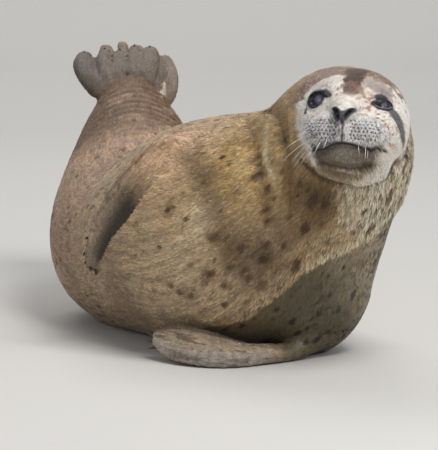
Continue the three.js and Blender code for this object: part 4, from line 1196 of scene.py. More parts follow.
    # the dark skin of the open eye runs up towards the brow and down behind it
    k = along_path(q, ((59, -50, 22), (66, -34, 24), (73, -25, 17)), (3.4, 4.2, 3.0))
    k = np.minimum(k, along_path(q, ((54, -59, 12), (56, -59, 3), (59, -58, -5)), (2.0, 3.0, 2.4)))
    k = np.minimum(k, along_path(q, ((66, 31, 17), (66, 42, 19), (60, 54, 13)), (2.2, 3.4, 2.4)))
    h = paint(h, srgb(82, 74, 76), soft * 0.62)
    h = paint(h, srgb(40, 37, 46), step((1.5 - k) / 0.8) * 0.85)
    h = paint(h, srgb(30, 29, 40), rim)
    # painted highlight on the wet edge of the half-shut eye's lower lid
    sgn, w, hv, dv = LIDS[1]
    r = q - EYE
    hh = nrm(np.cross([0, 0, 1.0], GAZE))
    vv = np.cross(GAZE, hh)
    x, y, z = r @ GAZE, r @ hh, r @ vv
    k = np.sqrt((y / w) ** 2 + ((z - dv) / hv) ** 2)
    h = paint(h, srgb(172, 170, 182), bell(k - 1.12, 0.09) * step((dv - 1.0 - z) / 1.5) * step((x - 4) / 3) * 0.85)
    nl_col = srgb(74, 73, 84) * (0.8 + 0.4 * noise(q, 1.8, 78))[:, None]
    h = paint(h, nl_col, nl)
    # the nostril slits are painted near black, a painted shade inside them
    kn, _ = nostrils(q)
    h = paint(h, srgb(7, 6, 8), step((1.12 - kn) / 0.16))
    return h, np.maximum(rim, np.maximum(nl, step((1.25 - kn) / 0.1)))


def markings(p, n, st):
    """Colour in sRGB, wetness and bareness for points of the skin."""
    q = to_head(p)
    col, wet, med, dark = body_colour(p, n, st)
    col = limb_colour(p, n, st, col, med)
    bare = np.zeros(len(p))
    hw = st["head"]
    on = hw > 0.001
    if on.any():
        ix = np.where(on)[0]
        h, b_ = head_colour(q[ix], p[ix], st)
        col[ix] = paint(col[ix], h, hw[ix])
        bare[ix] = b_ * hw[ix]
    # painted shade in the collar crease under the jowl
    k = along_path(q, ((40, -62, -60), (39, -48, -74), (37, -36, -83), (32, -14, -90), (22, 14, -91), (10, 36, -84)), (2.2, 3.4, 3.6, 3.2, 2.2, 1.0))
    col = paint(col, srgb(70, 52, 36), step((1.35 - k) / 0.9) * 0.8)
    return np.clip(col, 0.01, 0.98), wet, bare


colour, wet, bare = markings(V, N, S)


# ------------------------------------------------------------------ pieces of the model
def material(name):
    m = bpy.data.materials.new(name)
    m.use_nodes = True
    nt = m.node_tree
    return m, nt, nt.nodes["Principled BSDF"]


def plain_mesh(name, verts, faces, mats, smooth=True):
    me = bpy.data.meshes.new(name)
    me.from_pydata([tuple(v) for v in verts], [], [tuple(f) for f in faces])
    me.update()
    if smooth:
        me.polygons.foreach_set("use_smooth", [True] * len(me.polygons))
    for m in mats:
        me.materials.append(m)
    o = bpy.data.objects.new(name, me)
    bpy.context.scene.collection.objects.link(o)
    return o


def tri_mesh(name, verts, tris, mat):
    """A mesh of triangles straight from arrays; verts in metres."""
    me = bpy.data.meshes.new(name)
    me.vertices.add(len(verts))
    me.vertices.foreach_set("co", np.ascontiguousarray(verts, np.float32).ravel())
    me.loops.add(len(tris) * 3)
    me.loops.foreach_set("vertex_index", np.ascontiguousarray(tris, np.int32).ravel())
    me.polygons.add(len(tris))
    me.polygons.foreach_set("loop_start", np.arange(0, len(tris) * 3, 3, dtype=np.int32))
    me.polygons.foreach_set("use_smooth", np.ones(len(tris), bool))
    me.update(calc_edges=True)
    me.validate()
    me.materials.append(mat)
    o = bpy.data.objects.new(name, me)
    bpy.context.scene.collection.objects.link(o)
    return o


def put(me, name, kind, values):
    a = me.attributes.new(name, kind, "POINT")
    key = {"FLOAT": "value", "FLOAT_COLOR": "color", "FLOAT_VECTOR": "vector"}[kind]
    a.data.foreach_set(key, np.ascontiguousarray(values, np.float32).ravel())


def put_uv(me, uv):
    layer = me.uv_layers.new(name="OFBake")
    layer.data.foreach_set("uv", np.ascontiguousarray(uv, np.float32).ravel())


def rgba(c):
    return np.concatenate([linear(c), np.ones((len(c), 1))], 1)


# ------------------------------------------------------------------ fur and skin materials
def fur_material(name, rough, wet_rough, bump=0.0, spec=0.35):
    """Colour from the markings; wetness lowers the roughness. Bump is fine grain along the hair."""
    m, nt, b = material(name)
    col = nt.nodes.new("ShaderNodeAttribute")
    col.attribute_name = "Col"
    wetn = nt.nodes.new("ShaderNodeAttribute")
    wetn.attribute_name = "wet"
    ro = nt.nodes.new("ShaderNodeMapRange")
    ro.inputs["To Min"].default_value = rough
    ro.inputs["To Max"].default_value = wet_rough
    nt.links.new(wetn.outputs["Fac"], ro.inputs["Value"])
    nt.links.new(ro.outputs["Result"], b.inputs["Roughness"])
    b.inputs["Specular IOR Level"].default_value = spec
    b.inputs["Sheen Weight"].default_value = 0.12
    b.inputs["Sheen Roughness"].default_value = 0.4
    if not bump:
        nt.links.new(col.outputs["Color"], b.inputs["Base Color"])
        return m
    flow = nt.nodes.new("ShaderNodeAttribute")
    flow.attribute_name = "flow"
    sc = nt.nodes.new("ShaderNodeVectorMath")
    sc.operation = "MULTIPLY"
    sc.inputs[1].default_value = (0.09, 0.85, 0.85)
    nt.links.new(flow.outputs["Vector"], sc.inputs[0])
    n1 = nt.nodes.new("ShaderNodeTexNoise")
    n1.inputs["Scale"].default_value = 1.0
    n1.inputs["Detail"].default_value = 3.0
    n1.inputs["Roughness"].default_value = 0.62
    nt.links.new(sc.outputs[0], n1.inputs["Vector"])
    # the same grain lightens and darkens the hair a little
    mul = nt.nodes.new("ShaderNodeMapRange")
    mul.inputs["From Min"].default_value = 0.25
    mul.inputs["From Max"].default_value = 0.75
    mul.inputs["To Min"].default_value = 0.72
    mul.inputs["To Max"].default_value = 1.24
    nt.links.new(n1.outputs["Fac"], mul.inputs["Value"])
    mx = nt.nodes.new("ShaderNodeVectorMath")
    mx.operation = "SCALE"
    nt.links.new(col.outputs["Color"], mx.inputs[0])
    nt.links.new(mul.outputs["Result"], mx.inputs["Scale"])
    nt.links.new(mx.outputs[0], b.inputs["Base Color"])
    bp = nt.nodes.new("ShaderNodeBump")
    bp.inputs["Strength"].default_value = bump
    bp.inputs["Distance"].default_value = 0.0006
    nt.links.new(n1.outputs["Fac"], bp.inputs["Height"])
    nt.links.new(bp.outputs["Normal"], b.inputs["Normal"])
    return m


skin_mat = fur_material("seal_skin", 0.58, 0.26, bump=0.8)
fur_mat = fur_material("seal_coat", 0.60, 0.30)
wetfur_mat = fur_material("seal_wet_coat", 0.5, 0.26, spec=0.5)

# ------------------------------------------------------------------ the skin as one piece
# charts: the trunk round its axis, the head about the snout, each limb by its two faces
CHARTS = {0: (0.01, 0.36, 0.98, 0.63), 1: (0.01, 0.01, 0.34, 0.34), 2: (0.36, 0.01, 0.14, 0.34), 3: (0.51, 0.01, 0.14, 0.34), 4: (0.66, 0.01, 0.15, 0.34), 5: (0.82, 0.01, 0.15, 0.34), 6: (0.975, 0.01, 0.02, 0.34)}


def chart(part, across, along):
    x0, y0, w, h = (np.array([CHARTS[k][i] for k in range(7)])[part] for i in range(4))
    return np.stack([x0 + np.clip(across, 0, 1) * w, y0 + np.clip(along, 0, 1) * h], -1)


tp = S["part"][T]
own = tp[:, 0].copy()
own = np.where((tp[:, 1] == tp[:, 2]) & (tp[:, 1] != own), tp[:, 1], own)
ac, al = S["across"][T].copy(), S["along"][T].copy()
wrap = (ac.max(1) - ac.min(1) > 0.5) & (own == 0)
ac[wrap] = np.where(ac[wrap] < 0.5, 1.0, ac[wrap])
# where a triangle spans two charts, its corners gather at one that has the chart it keeps
odd = tp != own[:, None]
first = np.argmax(~odd, 1)
rows_ = np.arange(len(T))
ac = np.where(odd, ac[rows_, first][:, None], ac)
al = np.where(odd, al[rows_, first][:, None], al)
skin_uv = chart(np.repeat(own[:, None], 3, 1), ac, al)

skin = tri_mesh("skin", to_model(V), T, skin_mat)
put(skin.data, "Col", "FLOAT_COLOR", rgba(colour * mix(0.93, 1.0, bare)[:, None]))
put(skin.data, "wet", "FLOAT", np.maximum(wet, bare))
put(skin.data, "flow", "FLOAT_VECTOR", S["straight"])
put_uv(skin.data, skin_uv)
FLESH = ["head", "neck", "chest", "belly", "hips", "tail", "fore_flipper_right", "fore_flipper_left", "hind_flipper_right", "hind_flipper_left"]
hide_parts(*FLESH)
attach(skin, "root")

# ------------------------------------------------------------------ the coat
TO_CAM = nrm([0.0, -math.cos(math.radians(8)), math.sin(math.radians(8))])


def tufts():
    """Roots, normals, directions and survey values of every tuft, spread over the skin at a density that varies from
    place to place.
    """
    a, b, c = V[T[:, 0]], V[T[:, 1]], V[T[:, 2]]
    area = 0.5 * length(cross(b - a, c - a))
    mid = (a + b + c) / 3
    nm = N[T].mean(1)
    part = own
    q = to_head(mid)
    bare_t = bare[T].max(1)
    facing = nm @ TO_CAM
    seen = step((facing + 0.25) / 0.3)
    dens = mix(0.38, 0.82, seen)
    dens = np.where(part == 1, mix(0.9, 1.7, step((q[:, 0] + 10) / 40)) * mix(0.6, 1.0, seen), dens)
    dens = np.where(part >= 2, mix(0.5, 0.95, seen), dens)
    dens = dens * step((mid[:, 2] - 2.0) / 5.0)  # none where the belly is pressed to the floor
    dens = dens * (bare_t < 0.5)
    want = area * dens
    count = np.floor(want + rng.random(len(want))).astype(int)
    t = np.repeat(np.arange(len(T)), count)
    r = rng.random((len(t), 2))
    r = np.where((r.sum(1) > 1)[:, None], 1 - r, r)
    w = np.stack([1 - r.sum(1), r[:, 0], r[:, 1]], -1)
    p = (V[T[t]] * w[..., None]).sum(1)
    n = nrm((N[T[t]] * w[..., None]).sum(1))
    lie = (S["lie"][T[t]] * w[..., None]).sum(1)
    st = {}
    same = (tp[t] == own[t][:, None]).all(1)
    keep = first[t]
    pick = lambda k: S[k][T[t, keep]]
    for k in ("s", "head", "dt", "limb"):
        st[k] = (S[k][T[t]] * w).sum(1)
    st["straight"] = np.where(same[:, None], (S["straight"][T[t]] * w[..., None]).sum(1), pick("straight"))
    st["across"] = np.clip((ac[t] * w).sum(1), 0, 1)
    st["along"] = (al[t] * w).sum(1)
    st["part"] = own[t]
    st["lie"] = nrm(lie - n * (lie * n).sum(1)[:, None])
    return p, n, st, seen[t]


P, PN, PS, PSEEN = tufts()
PART = PS["part"]
pcol = np.empty_like(P)
pwet = np.empty(len(P))
pbare = np.empty(len(P))
for i in range(0, len(P), 60000):
    k = slice(i, i + 60000)
    pcol[k], pwet[k], pbare[k] = markings(P[k], PN[k], {key: v[k] for key, v in PS.items()})
live = pbare < 0.35
P, PN, PSEEN, PART, pcol, pwet = P[live], PN[live], PSEEN[live], PART[live], pcol[live], pwet[live]
PS = {key: v[live] for key, v in PS.items()}

q = to_head(P)
m = len(P)
R = rng.random((m, 8))
face_w = np.where(PART == 1, step((q[:, 0] - 5) / 50), 0.0)
on_head = (PART == 1) * 1.0
limb_w = (PART >= 2) * 1.0
# the ruff of rough hair on the breast to the animal's left, and the fringe above the wet fur
aw = above_wet(P)
ruff = step((P[:, 0] - 165) / 40) * step((P[:, 2] - 140) / 40) * step((90 - P[:, 1]) / 70) * (PART == 0)
ruff = ruff * step((315 - P[:, 2]) / 30)
fringe = bell(aw - 6, 7) * step((P[:, 0] + 20) / 60) * (PART == 0)
rough_coat = np.clip(np.maximum(ruff, 0.7 * fringe), 0, 1) * (1 - on_head)
# the lower edge of the jowl breaks up into the fur of the neck, most of all to the animal's left
jowl = (PART == 1) * step((-62 - q[:, 2]) / 12) * mix(0.22, 0.62, step((q[:, 1] + 4) / 20))
throat = (PART == 0) * step((170 - length(P - HEAD)) / 40) * step((300 - P[:, 2]) / 30) * step((P[:, 0] - 120) / 50) * 0.45
rough_coat = np.maximum(rough_coat, np.maximum(jowl, throat))

size = mix(6.9, 5.2, on_head)
size = mix(size, 2.7, face_w)
size = mix(size, 4.6, limb_w)
size = mix(size, 15.0, rough_coat)
size = mix(size, 8.5, pwet * (1 - limb_w))
breadth = mix(0.84, 0.70, on_head)
breadth = mix(breadth, 0.55, face_w)
breadth = mix(breadth, 0.8, limb_w)
breadth = mix(breadth, 1.3, rough_coat)
rise = mix(1.35, 1.0, on_head)
rise = mix(rise, 0.6, face_w)
rise = mix(rise, 0.55, limb_w)
rise = mix(rise, 6.2, rough_coat)
rise = mix(rise, 0.45, pwet * (1 - limb_w))
size = size * (0.7 + 0.6 * R[:, 0])
rise = rise * (0.35 + 1.0 * R[:, 1] ** 1.5)
breadth = breadth * (0.75 + 0.5 * R[:, 2])
low = step((P[:, 2] - 3) / 26)
rise = rise * (0.25 + 0.75 * low)

# the hair turns a little from place to place and parts into locks
lie, nn = PS["lie"], PN
side = cross(nn, lie)
turn = 0.34 * (noise(P, 34, 81) - 0.5) + 0.30 * (noise(P, 8, 82) - 0.5) * (1 + 1.3 * rough_coat) * (1 - 0.8 * pwet) + 0.34 * (R[:, 3] - 0.5) * (1 - 0.7 * pwet)
turn = turn * mix(1.0, 0.75, face_w)
# the rough coat falls with its weight instead of lying back
down = np.array([0.0, 0, -1.0]) - nn * (nn @ np.array([0.0, 0, -1.0]))[:, None]
way = nrm(lie * np.cos(turn)[:, None] + side * np.sin(turn)[:, None])
w_down = (0.55 * rough_coat + 0.35 * pwet * (PART == 0))[:, None]
way = nrm(way * (1 - w_down) + nrm(down + 1e-6) * w_down)
side = cross(nn, way)
roll = 0.9 * (R[:, 4] - 0.5) + 0.7 * (noise(P, 6, 83) - 0.5)
blade = nn * np.cos(roll)[:, None] + side * np.sin(roll)[:, None]
wide = cross(blade, way)
lock = 0.6 + 0.8 * noise(P, (7, 7, 7), 84)
rise = rise * lock

root = P - nn * 0.35
midp = P + way * (size * 0.46)[:, None] + nn * (rise * 0.62)[:, None]
tip = P + way * size[:, None] + nn * (rise * 1.0)[:, None]
# neighbouring tips draw together into locks
cell = np.floor(P / 6.5 + 0.35 * noise(P, 4, 86)[:, None]).astype(np.int64)
_, group = np.unique(cell[:, 0] * 4000003 + cell[:, 1] * 2003 + cell[:, 2], return_inverse=True)
group = group.ravel()
count = np.bincount(group)
mean = np.stack([np.bincount(group, tip[:, i]) / count for i in range(3)], -1)[group]
pull = (0.16 + 0.60 * rough_coat) * (1 - face_w) * (1 - on_head * 0.5)
tip = mix(tip, mean, pull[:, None])
half = (breadth / 2)[:, None]
ml, mr = midp - wide * half, midp + wide * half
co = np.stack([root, ml, mr, tip], 1)
co[..., 2] = np.maximum(co[..., 2], 0.35)

shade = nrm(nn * 0.55 + blade * 0.75)
normal = np.stack([nrm(shade - way * 0.22), nrm(shade - wide * 0.16), nrm(shade + wide * 0.16), nrm(shade + way * 0.25)], 1)

pads = bell(length((np.stack([q[:, 0], np.abs(q[:, 1]), q[:, 2]], -1) - np.array([92, 27, -36])) / np.array([30, 30, 21])), 1.0) * (PART == 1)
jit = 1 + mix(0.30, 0.22, pwet) * (R[:, 5] - 0.5) * (1 + 1.6 * pads + 1.0 * rough_coat) + 0.12 * (noise(P, 4, 85) - 0.5)
warm = 0.03 * (R[:, 6:7] - 0.5) * np.array([1.0, 0.1, -1.0])
base = np.clip(pcol * jit[:, None] + warm, 0.01, 1)
pale = (R[:, 7] > mix(mix(0.92, 0.82, face_w), 0.62, pads)) * (1 - pwet)
base = mix(base, np.clip(base * 1.12 + 0.08 + 0.06 * pads[:, None], 0, 0.95), (pale * 0.85)[:, None])
base = mix(base, base * 0.42, ((R[:, 6] < 0.22) * pads)[:, None])
# each tuft is darker at its root, a painted shade among the hairs, most in the rough coat, and lighter at its tip
root_shade = mix(0.80, 0.55, rough_coat)[:, None]
cols = np.stack([base * root_shade, base * 0.96, base * 0.96, base * mix(1.08, 1.2, rough_coat)[:, None]], 1)


def coat_piece(name, ix, uvx, uvy, mat):
    """One joined mesh of tufts; uvx, uvy place each root on the unwrapped skin, 0 to 1."""
    k = len(ix)
    verts = to_model(co[ix].reshape(-1, 3))
    base_i = np.arange(k)[:, None] * 4
    tris = np.concatenate([base_i + [0, 1, 2], base_i + [1, 3, 2]], 1).reshape(-1, 3)
    o = tri_mesh(name, verts, tris, mat)
    me = o.data
    put(me, "Col", "FLOAT_COLOR", rgba(np.clip(cols[ix].reshape(-1, 3), 0.005, 1)))
    put(me, "wet", "FLOAT", np.repeat(pwet[ix], 4))
    me.normals_split_custom_set_from_vertices(normal[ix].reshape(-1, 3).astype(np.float32))
    lo_, hi_ = np.array([uvx.min(), uvy.min()]), np.array([uvx.max(), uvy.max()])
    c0 = 0.004 + 0.992 * (np.stack([uvx, uvy], -1) - lo_) / np.maximum(hi_ - lo_, 1e-6)
    e = 0.0015
    corner = c0[:, None] + np.array([[0, -e], [-e, 0], [e, 0], [0, e]])
    uv = np.clip(corner, 0, 1).reshape(-1, 2)[tris.ravel()]
    put_uv(me, uv)
    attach(o, "root")
    return o


LIMIT = 92000
pieces = []
body = np.where(PART == 0)[0]
order = body[np.argsort(PS["s"][body], kind="stable")]
n_body = max(1, math.ceil(len(order) / LIMIT))
for i, ix in enumerate(np.array_split(order, n_body)):
    pieces.append(coat_piece(f"coat_body_{i + 1}", ix, PS["across"][ix], PS["s"][ix], fur_mat))
for code, name in ((1, "coat_head"), (2, "coat_fore_flipper_right"), (3, "coat_fore_flipper_left"), (4, "coat_hind_flipper_right"), (5, "coat_hind_flipper_left"), (6, "coat_tail")):
    ix = np.where(PART == code)[0]
    if not len(ix):
        continue
    if code == 1:
        front = PS["along"][ix]
        order = ix[np.argsort(front, kind="stable")]
        for i, jx in enumerate(np.array_split(order, max(1, math.ceil(len(order) / LIMIT)))):
            pieces.append(coat_piece(f"{name}_{i + 1}", jx, PS["across"][jx], PS["along"][jx], fur_mat))
    else:
        pieces.append(coat_piece(name, ix, PS["across"][ix], PS["along"][ix], fur_mat))
print("tufts", m, "skin", len(T))


# ------------------------------------------------------------------ eyes
def eye_material():
    m, nt, b = material("seal_eye")
    att = nt.nodes.new("ShaderNodeAttribute")
    att.attribute_name = "Col"
    nt.links.new(att.outputs["Color"], b.inputs["Base Color"])
    b.inputs["Roughness"].default_value = 0.035
    b.inputs["Specular IOR Level"].default_value = 0.6
    b.inputs["Coat Weight"].default_value = 1.0
    b.inputs["Coat Roughness"].default_value = 0.02
    return m


eye_mat = eye_material()
for sgn, name in ((-1, "eye_right"), (1, "eye_left")):
    g = GAZE * np.array([1, sgn, 1])
    h = nrm(np.cross([0, 0, 1.0], g))
    v = np.cross(g, h)
    c = EYE * np.array([1, sgn, 1])
    RINGS, SEG = 72, 96
    th = np.linspace(0, math.pi, RINGS + 1) ** 1.0
    verts, cols_ = [], []
    for i, t in enumerate(th):
        # the cornea bulges a little in front of the pupil
        r = EYE_R - 0.35 + 0.75 * bell(t, 0.42)
        for j in range(SEG):
            ph = 2 * math.pi * j / SEG
            d_ = g * math.cos(t) + (h * math.cos(ph) + v * math.sin(ph)) * math.sin(t)
            verts.append(from_head(c + r * d_))
            fibres = 0.5 + 0.5 * math.sin(ph * 31 + 2 * math.sin(ph * 7))
            if t < 0.59:
                # the dark iris and wide pupil are painted violet grey, a painted reflection in the clear front
                w_ = 1.0 + 0.10 * fibres - 0.25 * step((t - 0.38) / 0.21)
                k = (0.085 * w_, 0.074 * w_, 0.125 * w_)
            elif t < 0.78:
                k = (0.006, 0.006, 0.010)
            else:
                k = (0.05, 0.05, 0.075)
            cols_.append((*k, 1.0))
    faces = []
    for i in range(RINGS):
        for j in range(SEG):
            a_, b_ = i * SEG + j, i * SEG + (j + 1) % SEG
            if i == 0:
                faces.append((0, a_ + SEG, b_ + SEG) if j else (0, a_ + SEG, b_ + SEG))
            elif i == RINGS - 1:
                faces.append((a_, RINGS * SEG, b_))
            else:
                faces.append((a_, a_ + SEG, b_ + SEG, b_))
    verts, cols_ = np.array(verts), np.array(cols_)
    used = np.zeros(len(verts), bool)
    for f in faces:
        used[list(f)] = True
    new = np.cumsum(used) - 1
    faces = [tuple(int(new[i]) for i in f) for f in faces]
    o = plain_mesh("eyeball_" + name[4:], to_model(verts[used]), faces, [eye_mat])
    put(o.data, "Col", "FLOAT_COLOR", cols_[used])
    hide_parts(name)
    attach(o, "root")

# ------------------------------------------------------------------ claws
claw_mat, nt, b = material("seal_claw")
co_n = nt.nodes.new("ShaderNodeTexCoord")
no_n = nt.nodes.new("ShaderNodeTexNoise")
no_n.inputs["Scale"].default_value = 420.0
no_n.inputs["Detail"].default_value = 3.0
ramp = nt.nodes.new("ShaderNodeValToRGB")
ramp.color_ramp.elements[0].color = (0.020, 0.015, 0.012, 1)
ramp.color_ramp.elements[1].color = (0.105, 0.078, 0.058, 1)
nt.links.new(co_n.outputs["Object"], no_n.inputs["Vector"])
nt.links.new(no_n.outputs["Fac"], ramp.inputs["Fac"])
nt.links.new(ramp.outputs["Color"], b.inputs["Base Color"])
b.inputs["Roughness"].default_value = 0.34


def on_flipper(rows, t, u, h):
    x = t * (len(rows) - 1)
    i = min(len(rows) - 2, int(math.floor(x)))
    r = rows[i] + (x - i) * (rows[i + 1] - rows[i])
    Tn = nrm(rows[i + 1][:3] - rows[i][:3])
    l = r[5:8]
    l = nrm(l - Tn * (l @ Tn))
    mm = np.cross(Tn, l)
    return r[:3] + l * u * r[3] + mm * h * r[4], Tn, l, mm


def claw_mesh(c, t, down, ln, r):
    """A smooth bent claw with a blunt tip and a low ridge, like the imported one."""
    Tn = nrm(t)
    D = nrm(down - Tn * (down @ Tn))
    W = np.cross(Tn, D)
    SIDES, RINGS = 16, 14
    verts, faces = [], []
    for i in range(RINGS):
        s = i / RINGS
        size_ = r * (1 - s) ** 0.6 * (1 + 0.02 * math.sin(i * 2.4))
        mid = c + Tn * ln * s + D * ln * 0.28 * s * s
        for j in range(SIDES):
            a = 2 * math.pi * j / SIDES
            ridge = 1 + 0.10 * bell(math.sin(a / 2 + math.pi / 4), 0.3)
            verts.append(mid + W * size_ * 0.70 * math.cos(a) + D * size_ * 0.98 * math.sin(a) * min(ridge, 1.02))
    verts.append(c)
    verts.append(c + Tn * ln + D * ln * 0.28)
    root_, tip_ = len(verts) - 2, len(verts) - 1
    for j in range(SIDES):
        k = (j + 1) % SIDES
        faces.append((root_, k, j))
        for i in range(RINGS - 1):
            a = i * SIDES + j
            b_ = i * SIDES + k
            faces.append((a, b_, b_ + SIDES, a + SIDES))
        faces.append(((RINGS - 1) * SIDES + j, (RINGS - 1) * SIDES + k, tip_))
    return verts, faces


CLAWS_FORE_RIGHT = [(0.97, 0.62, -0.05), (0.98, 0.0, 0.08), (0.96, -0.62, 0.16), (0.9, -0.84, 0.26), (0.78, -0.88, 0.36)]
CLAWS_FORE_LEFT = [(0.95, 0.86, -0.45), (0.99, 0.5, -0.2), (1.0, -0.05, 0.05), (0.96, -0.62, 0.3), (0.9, -0.9, 0.5)]
UPPER = np.array([0, -0.45, 0.9])
sets = {}
for limb_, rows, table, out in (("fore_right", FORE_RIGHT, CLAWS_FORE_RIGHT, 1), ("fore_left", FORE_LEFT, CLAWS_FORE_LEFT, -1)):
    fine_rows = refine(rows, 3)
    sets[limb_] = []
    for i, (t, u, tn) in enumerate(table):
        p_, Tn, l, mm = on_flipper(fine_rows, t, u, 0.35 * out)
        d_ = nrm(Tn - l * tn)
        sets[limb_].append((p_ - d_ * 2, d_, -mm * out, 16 - i, 2.8))
for limb_, toes, out in (("hind_right", HIND_RIGHT, UPPER), ("hind_left", HIND_LEFT, -UPPER)):
    sets[limb_] = []
    for r_, flat in toes:
        a, b_ = np.array(r_[2][:3], float), np.array(r_[3][:3], float)
        Tn = nrm(b_ - a)
        up = nrm(out - Tn * (out @ Tn))
        sets[limb_].append((b_ - Tn * 7 + up * r_[3][3] * flat * 0.8, Tn + up * 0.12, -up, 12, 2.3))
for limb_, claws in sets.items():
    for i, claw in enumerate(claws):
        vs, fs = claw_mesh(*claw)
        o = plain_mesh(f"horn_{limb_}_{i + 1}", to_model(np.array(vs)), fs, [claw_mat])
        o.data.validate()
        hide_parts(f"claw_{limb_}_{i + 1}")
        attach(o, "root")

# ------------------------------------------------------------------ whiskers and brows
whisker_mat, nt, b = material("seal_whisker")
b.inputs["Base Color"].default_value = (0.90, 0.87, 0.82, 1)
b.inputs["Roughness"].default_value = 0.32
dark_whisker, nt, b = material("seal_whisker_dark")
b.inputs["Base Color"].default_value = (0.05, 0.042, 0.04, 1)
b.inputs["Roughness"].default_value = 0.35


def hair_tube(p0, d0, bend, ln, r, sides=5, seg=12):
    """A tapering tube from p0 along d0, curving towards bend; head frame, mm."""
    verts, faces = [], []
    p, d = np.array(p0, float), nrm(d0)
    for i in range(seg + 1):
        s = i / seg
        x = nrm(np.cross(d, [0.3, 0.2, 1.0]))
        y = np.cross(d, x)
        rr = r * (1 - s) ** 0.7 + 0.03
        for j in range(sides):
            a = 2 * math.pi * j / sides
            verts.append(p + rr * (x * math.cos(a) + y * math.sin(a)))
        p = p + d * ln / seg
        d = nrm(d + np.asarray(bend, float) / seg)
    for i in range(seg):
        for j in range(sides):
            k = (j + 1) % sides
            faces.append((i * sides + j, i * sides + k, (i + 1) * sides + k, (i + 1) * sides + j))
    faces.append(tuple(range(sides))[::-1])
    faces.append(tuple(seg * sides + j for j in range(sides)))
    return verts, faces


def joined(name, tubes, mat):
    vs, fs = [], []
    for v_, f_ in tubes:
        n0 = len(vs)
        vs += [from_head(x) for x in v_]
        fs += [tuple(i + n0 for i in f) for f in f_]
    o = plain_mesh(name, to_model(np.array(vs)), fs, [mat])
    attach(o, "root")
    return o


fol = FOLLICLES
start = np.stack([np.full(len(fol), 60.0), fol[:, 0], fol[:, 1]], -1)
# walk forwards from inside the head to the skin along F
world = np.array([from_head(x) for x in start])
far = np.full(len(fol), 60.0)
reach_ = np.arange(60, 118, 0.5)
grid = np.array([[from_head((f, x[1], x[2])) for f in reach_] for x in start])
dist = skin_fine(grid.reshape(-1, 3)).reshape(len(fol), -1)
inside = dist < 0
last = np.where(inside.any(1), inside.shape[1] - 1 - np.argmax(inside[:, ::-1], 1), 0)
far = reach_[last]
W1, W2 = [], []
wr = np.random.default_rng(11)
for (l_, u_, c_, row, side_), f_ in zip(fol, far):
    if f_ < 64:
        continue
    k = wr.random(4)
    c_ = int(c_)
    out = 0.25 + 0.16 * c_
    # most are short or fine
    if k[2] < 0.45:
        continue
    ln = 4 + 2.2 * c_ + 7 * k[0]
    d0 = (0.9 - 0.09 * c_, side_ * out, -0.22 - 0.05 * row + 0.25 * (k[1] - 0.5))
    bend = (-0.55 - 0.3 * k[2], side_ * 0.15, -0.75 - 0.5 * k[3])
    tube = hair_tube((f_ - 1.0, l_, u_), d0, bend, ln, 0.15 + 0.004 * ln)
    (W1 if k[1] < 0.8 else W2).append(tube)
# long white ones: root, way it points, length; they sweep out and down past the right cheek
LONG = (
    ((56, -60, -36), (-0.30, -1.0, -0.52), 32), ((50, -66, -38), (-0.25, -1.0, -0.40), 22), ((54, -60, -44), (-0.25, -1.0, -0.78), 42),
    ((49, -63, -50), (-0.20, -0.95, -0.90), 30), ((45, -62, -57), (-0.20, -0.85, -1.05), 26), ((47, -58, -60), (-0.10, -0.70, -1.1), 18),
    ((58, -53, -53), (0.10, -0.65, -1.0), 24), ((66, -47, -53), (0.20, -0.5, -1.0), 22), ((82, -38, -50), (0.45, -0.42, -1.0), 24),
    ((94, -29, -49), (0.55, -0.40, -1.0), 22), ((97, -21, -47), (0.6, -0.2, -1.0), 15), ((95, 20, -52), (0.5, 0.18, -1.0), 17),
    ((88, 33, -55), (0.45, 0.12, -1.0), 16), ((76, 40, -55), (0.35, 0.35, -1.0), 17), ((62, 47, -50), (0.25, 0.55, -0.9), 16),
    ((58, 52, -46), (0.15, 0.7, -0.75), 18), ((86, 27, -50), (0.5, 0.1, -1.0), 20), ((70, 46, -44), (0.3, 0.6, -0.8), 20),
)
roots = np.array([x[0] for x in LONG], float)
steps_ = np.linspace(-16, 16, 65)
middle = np.array([20.0, 0, -20.0])
outw = nrm(roots - middle)
line = roots[:, None] + outw[:, None] * steps_[None, :, None]
dist = skin_fine(np.array([from_head(x) for x in line.reshape(-1, 3)])).reshape(len(roots), -1)
last = np.where((dist < 0).any(1), dist.shape[1] - 1 - np.argmax((dist < 0)[:, ::-1], 1), 32)
for (_, d0, ln), row, i in zip(LONG, line, last):
    k = wr.random(3)
    W1.append(hair_tube(row[i], np.array(d0) + 0.12 * (k - 0.5), (-0.10, 0.0, -0.22), ln, 0.40, seg=14))
joined("whiskers_white", W1, whisker_mat)
joined("whiskers_dark", W2, dark_whisker)

# each whisker springs from a small dark swelling
fv, ff, base_n = [], [], 0
keep_f = far > 66
pts = np.array([from_head((f, x[0], x[1])) for f, x in zip(far[keep_f], fol[keep_f])])
gn = nrm(gradient(pts, skin_fine, 0.5))
for i, (c, n_) in enumerate(zip(pts, gn)):
    x = nrm(np.cross(n_, [0.1, 0.3, 1.0]))
    y = np.cross(n_, x)
    r_ = 0.80 + 0.30 * hash3(i, 3, 5, 9)
    for ring_ in range(3):
        a0 = ring_ * math.pi / 6
        for j in range(10):
            a = 2 * math.pi * j / 10
            fv.append(c + r_ * math.cos(a0) * (x * math.cos(a) + y * math.sin(a) * 1.15) + n_ * (0.75 + 0.55 * math.sin(a0)))
    fv.append(c + n_ * 1.32)
    for ring_ in range(2):
        for j in range(10):
            k = (j + 1) % 10
            b0 = base_n + ring_ * 10
            ff.append((b0 + j, b0 + k, b0 + 10 + k, b0 + 10 + j))
    for j in range(10):
        ff.append((base_n + 20 + j, base_n + 20 + (j + 1) % 10, base_n + 30))
    ff.append(tuple(base_n + j for j in range(10))[::-1])
    base_n += 31
dot_mat, nt, b = material("seal_follicle")
b.inputs["Base Color"].default_value = (0.022, 0.020, 0.023, 1)
b.inputs["Roughness"].default_value = 0.5
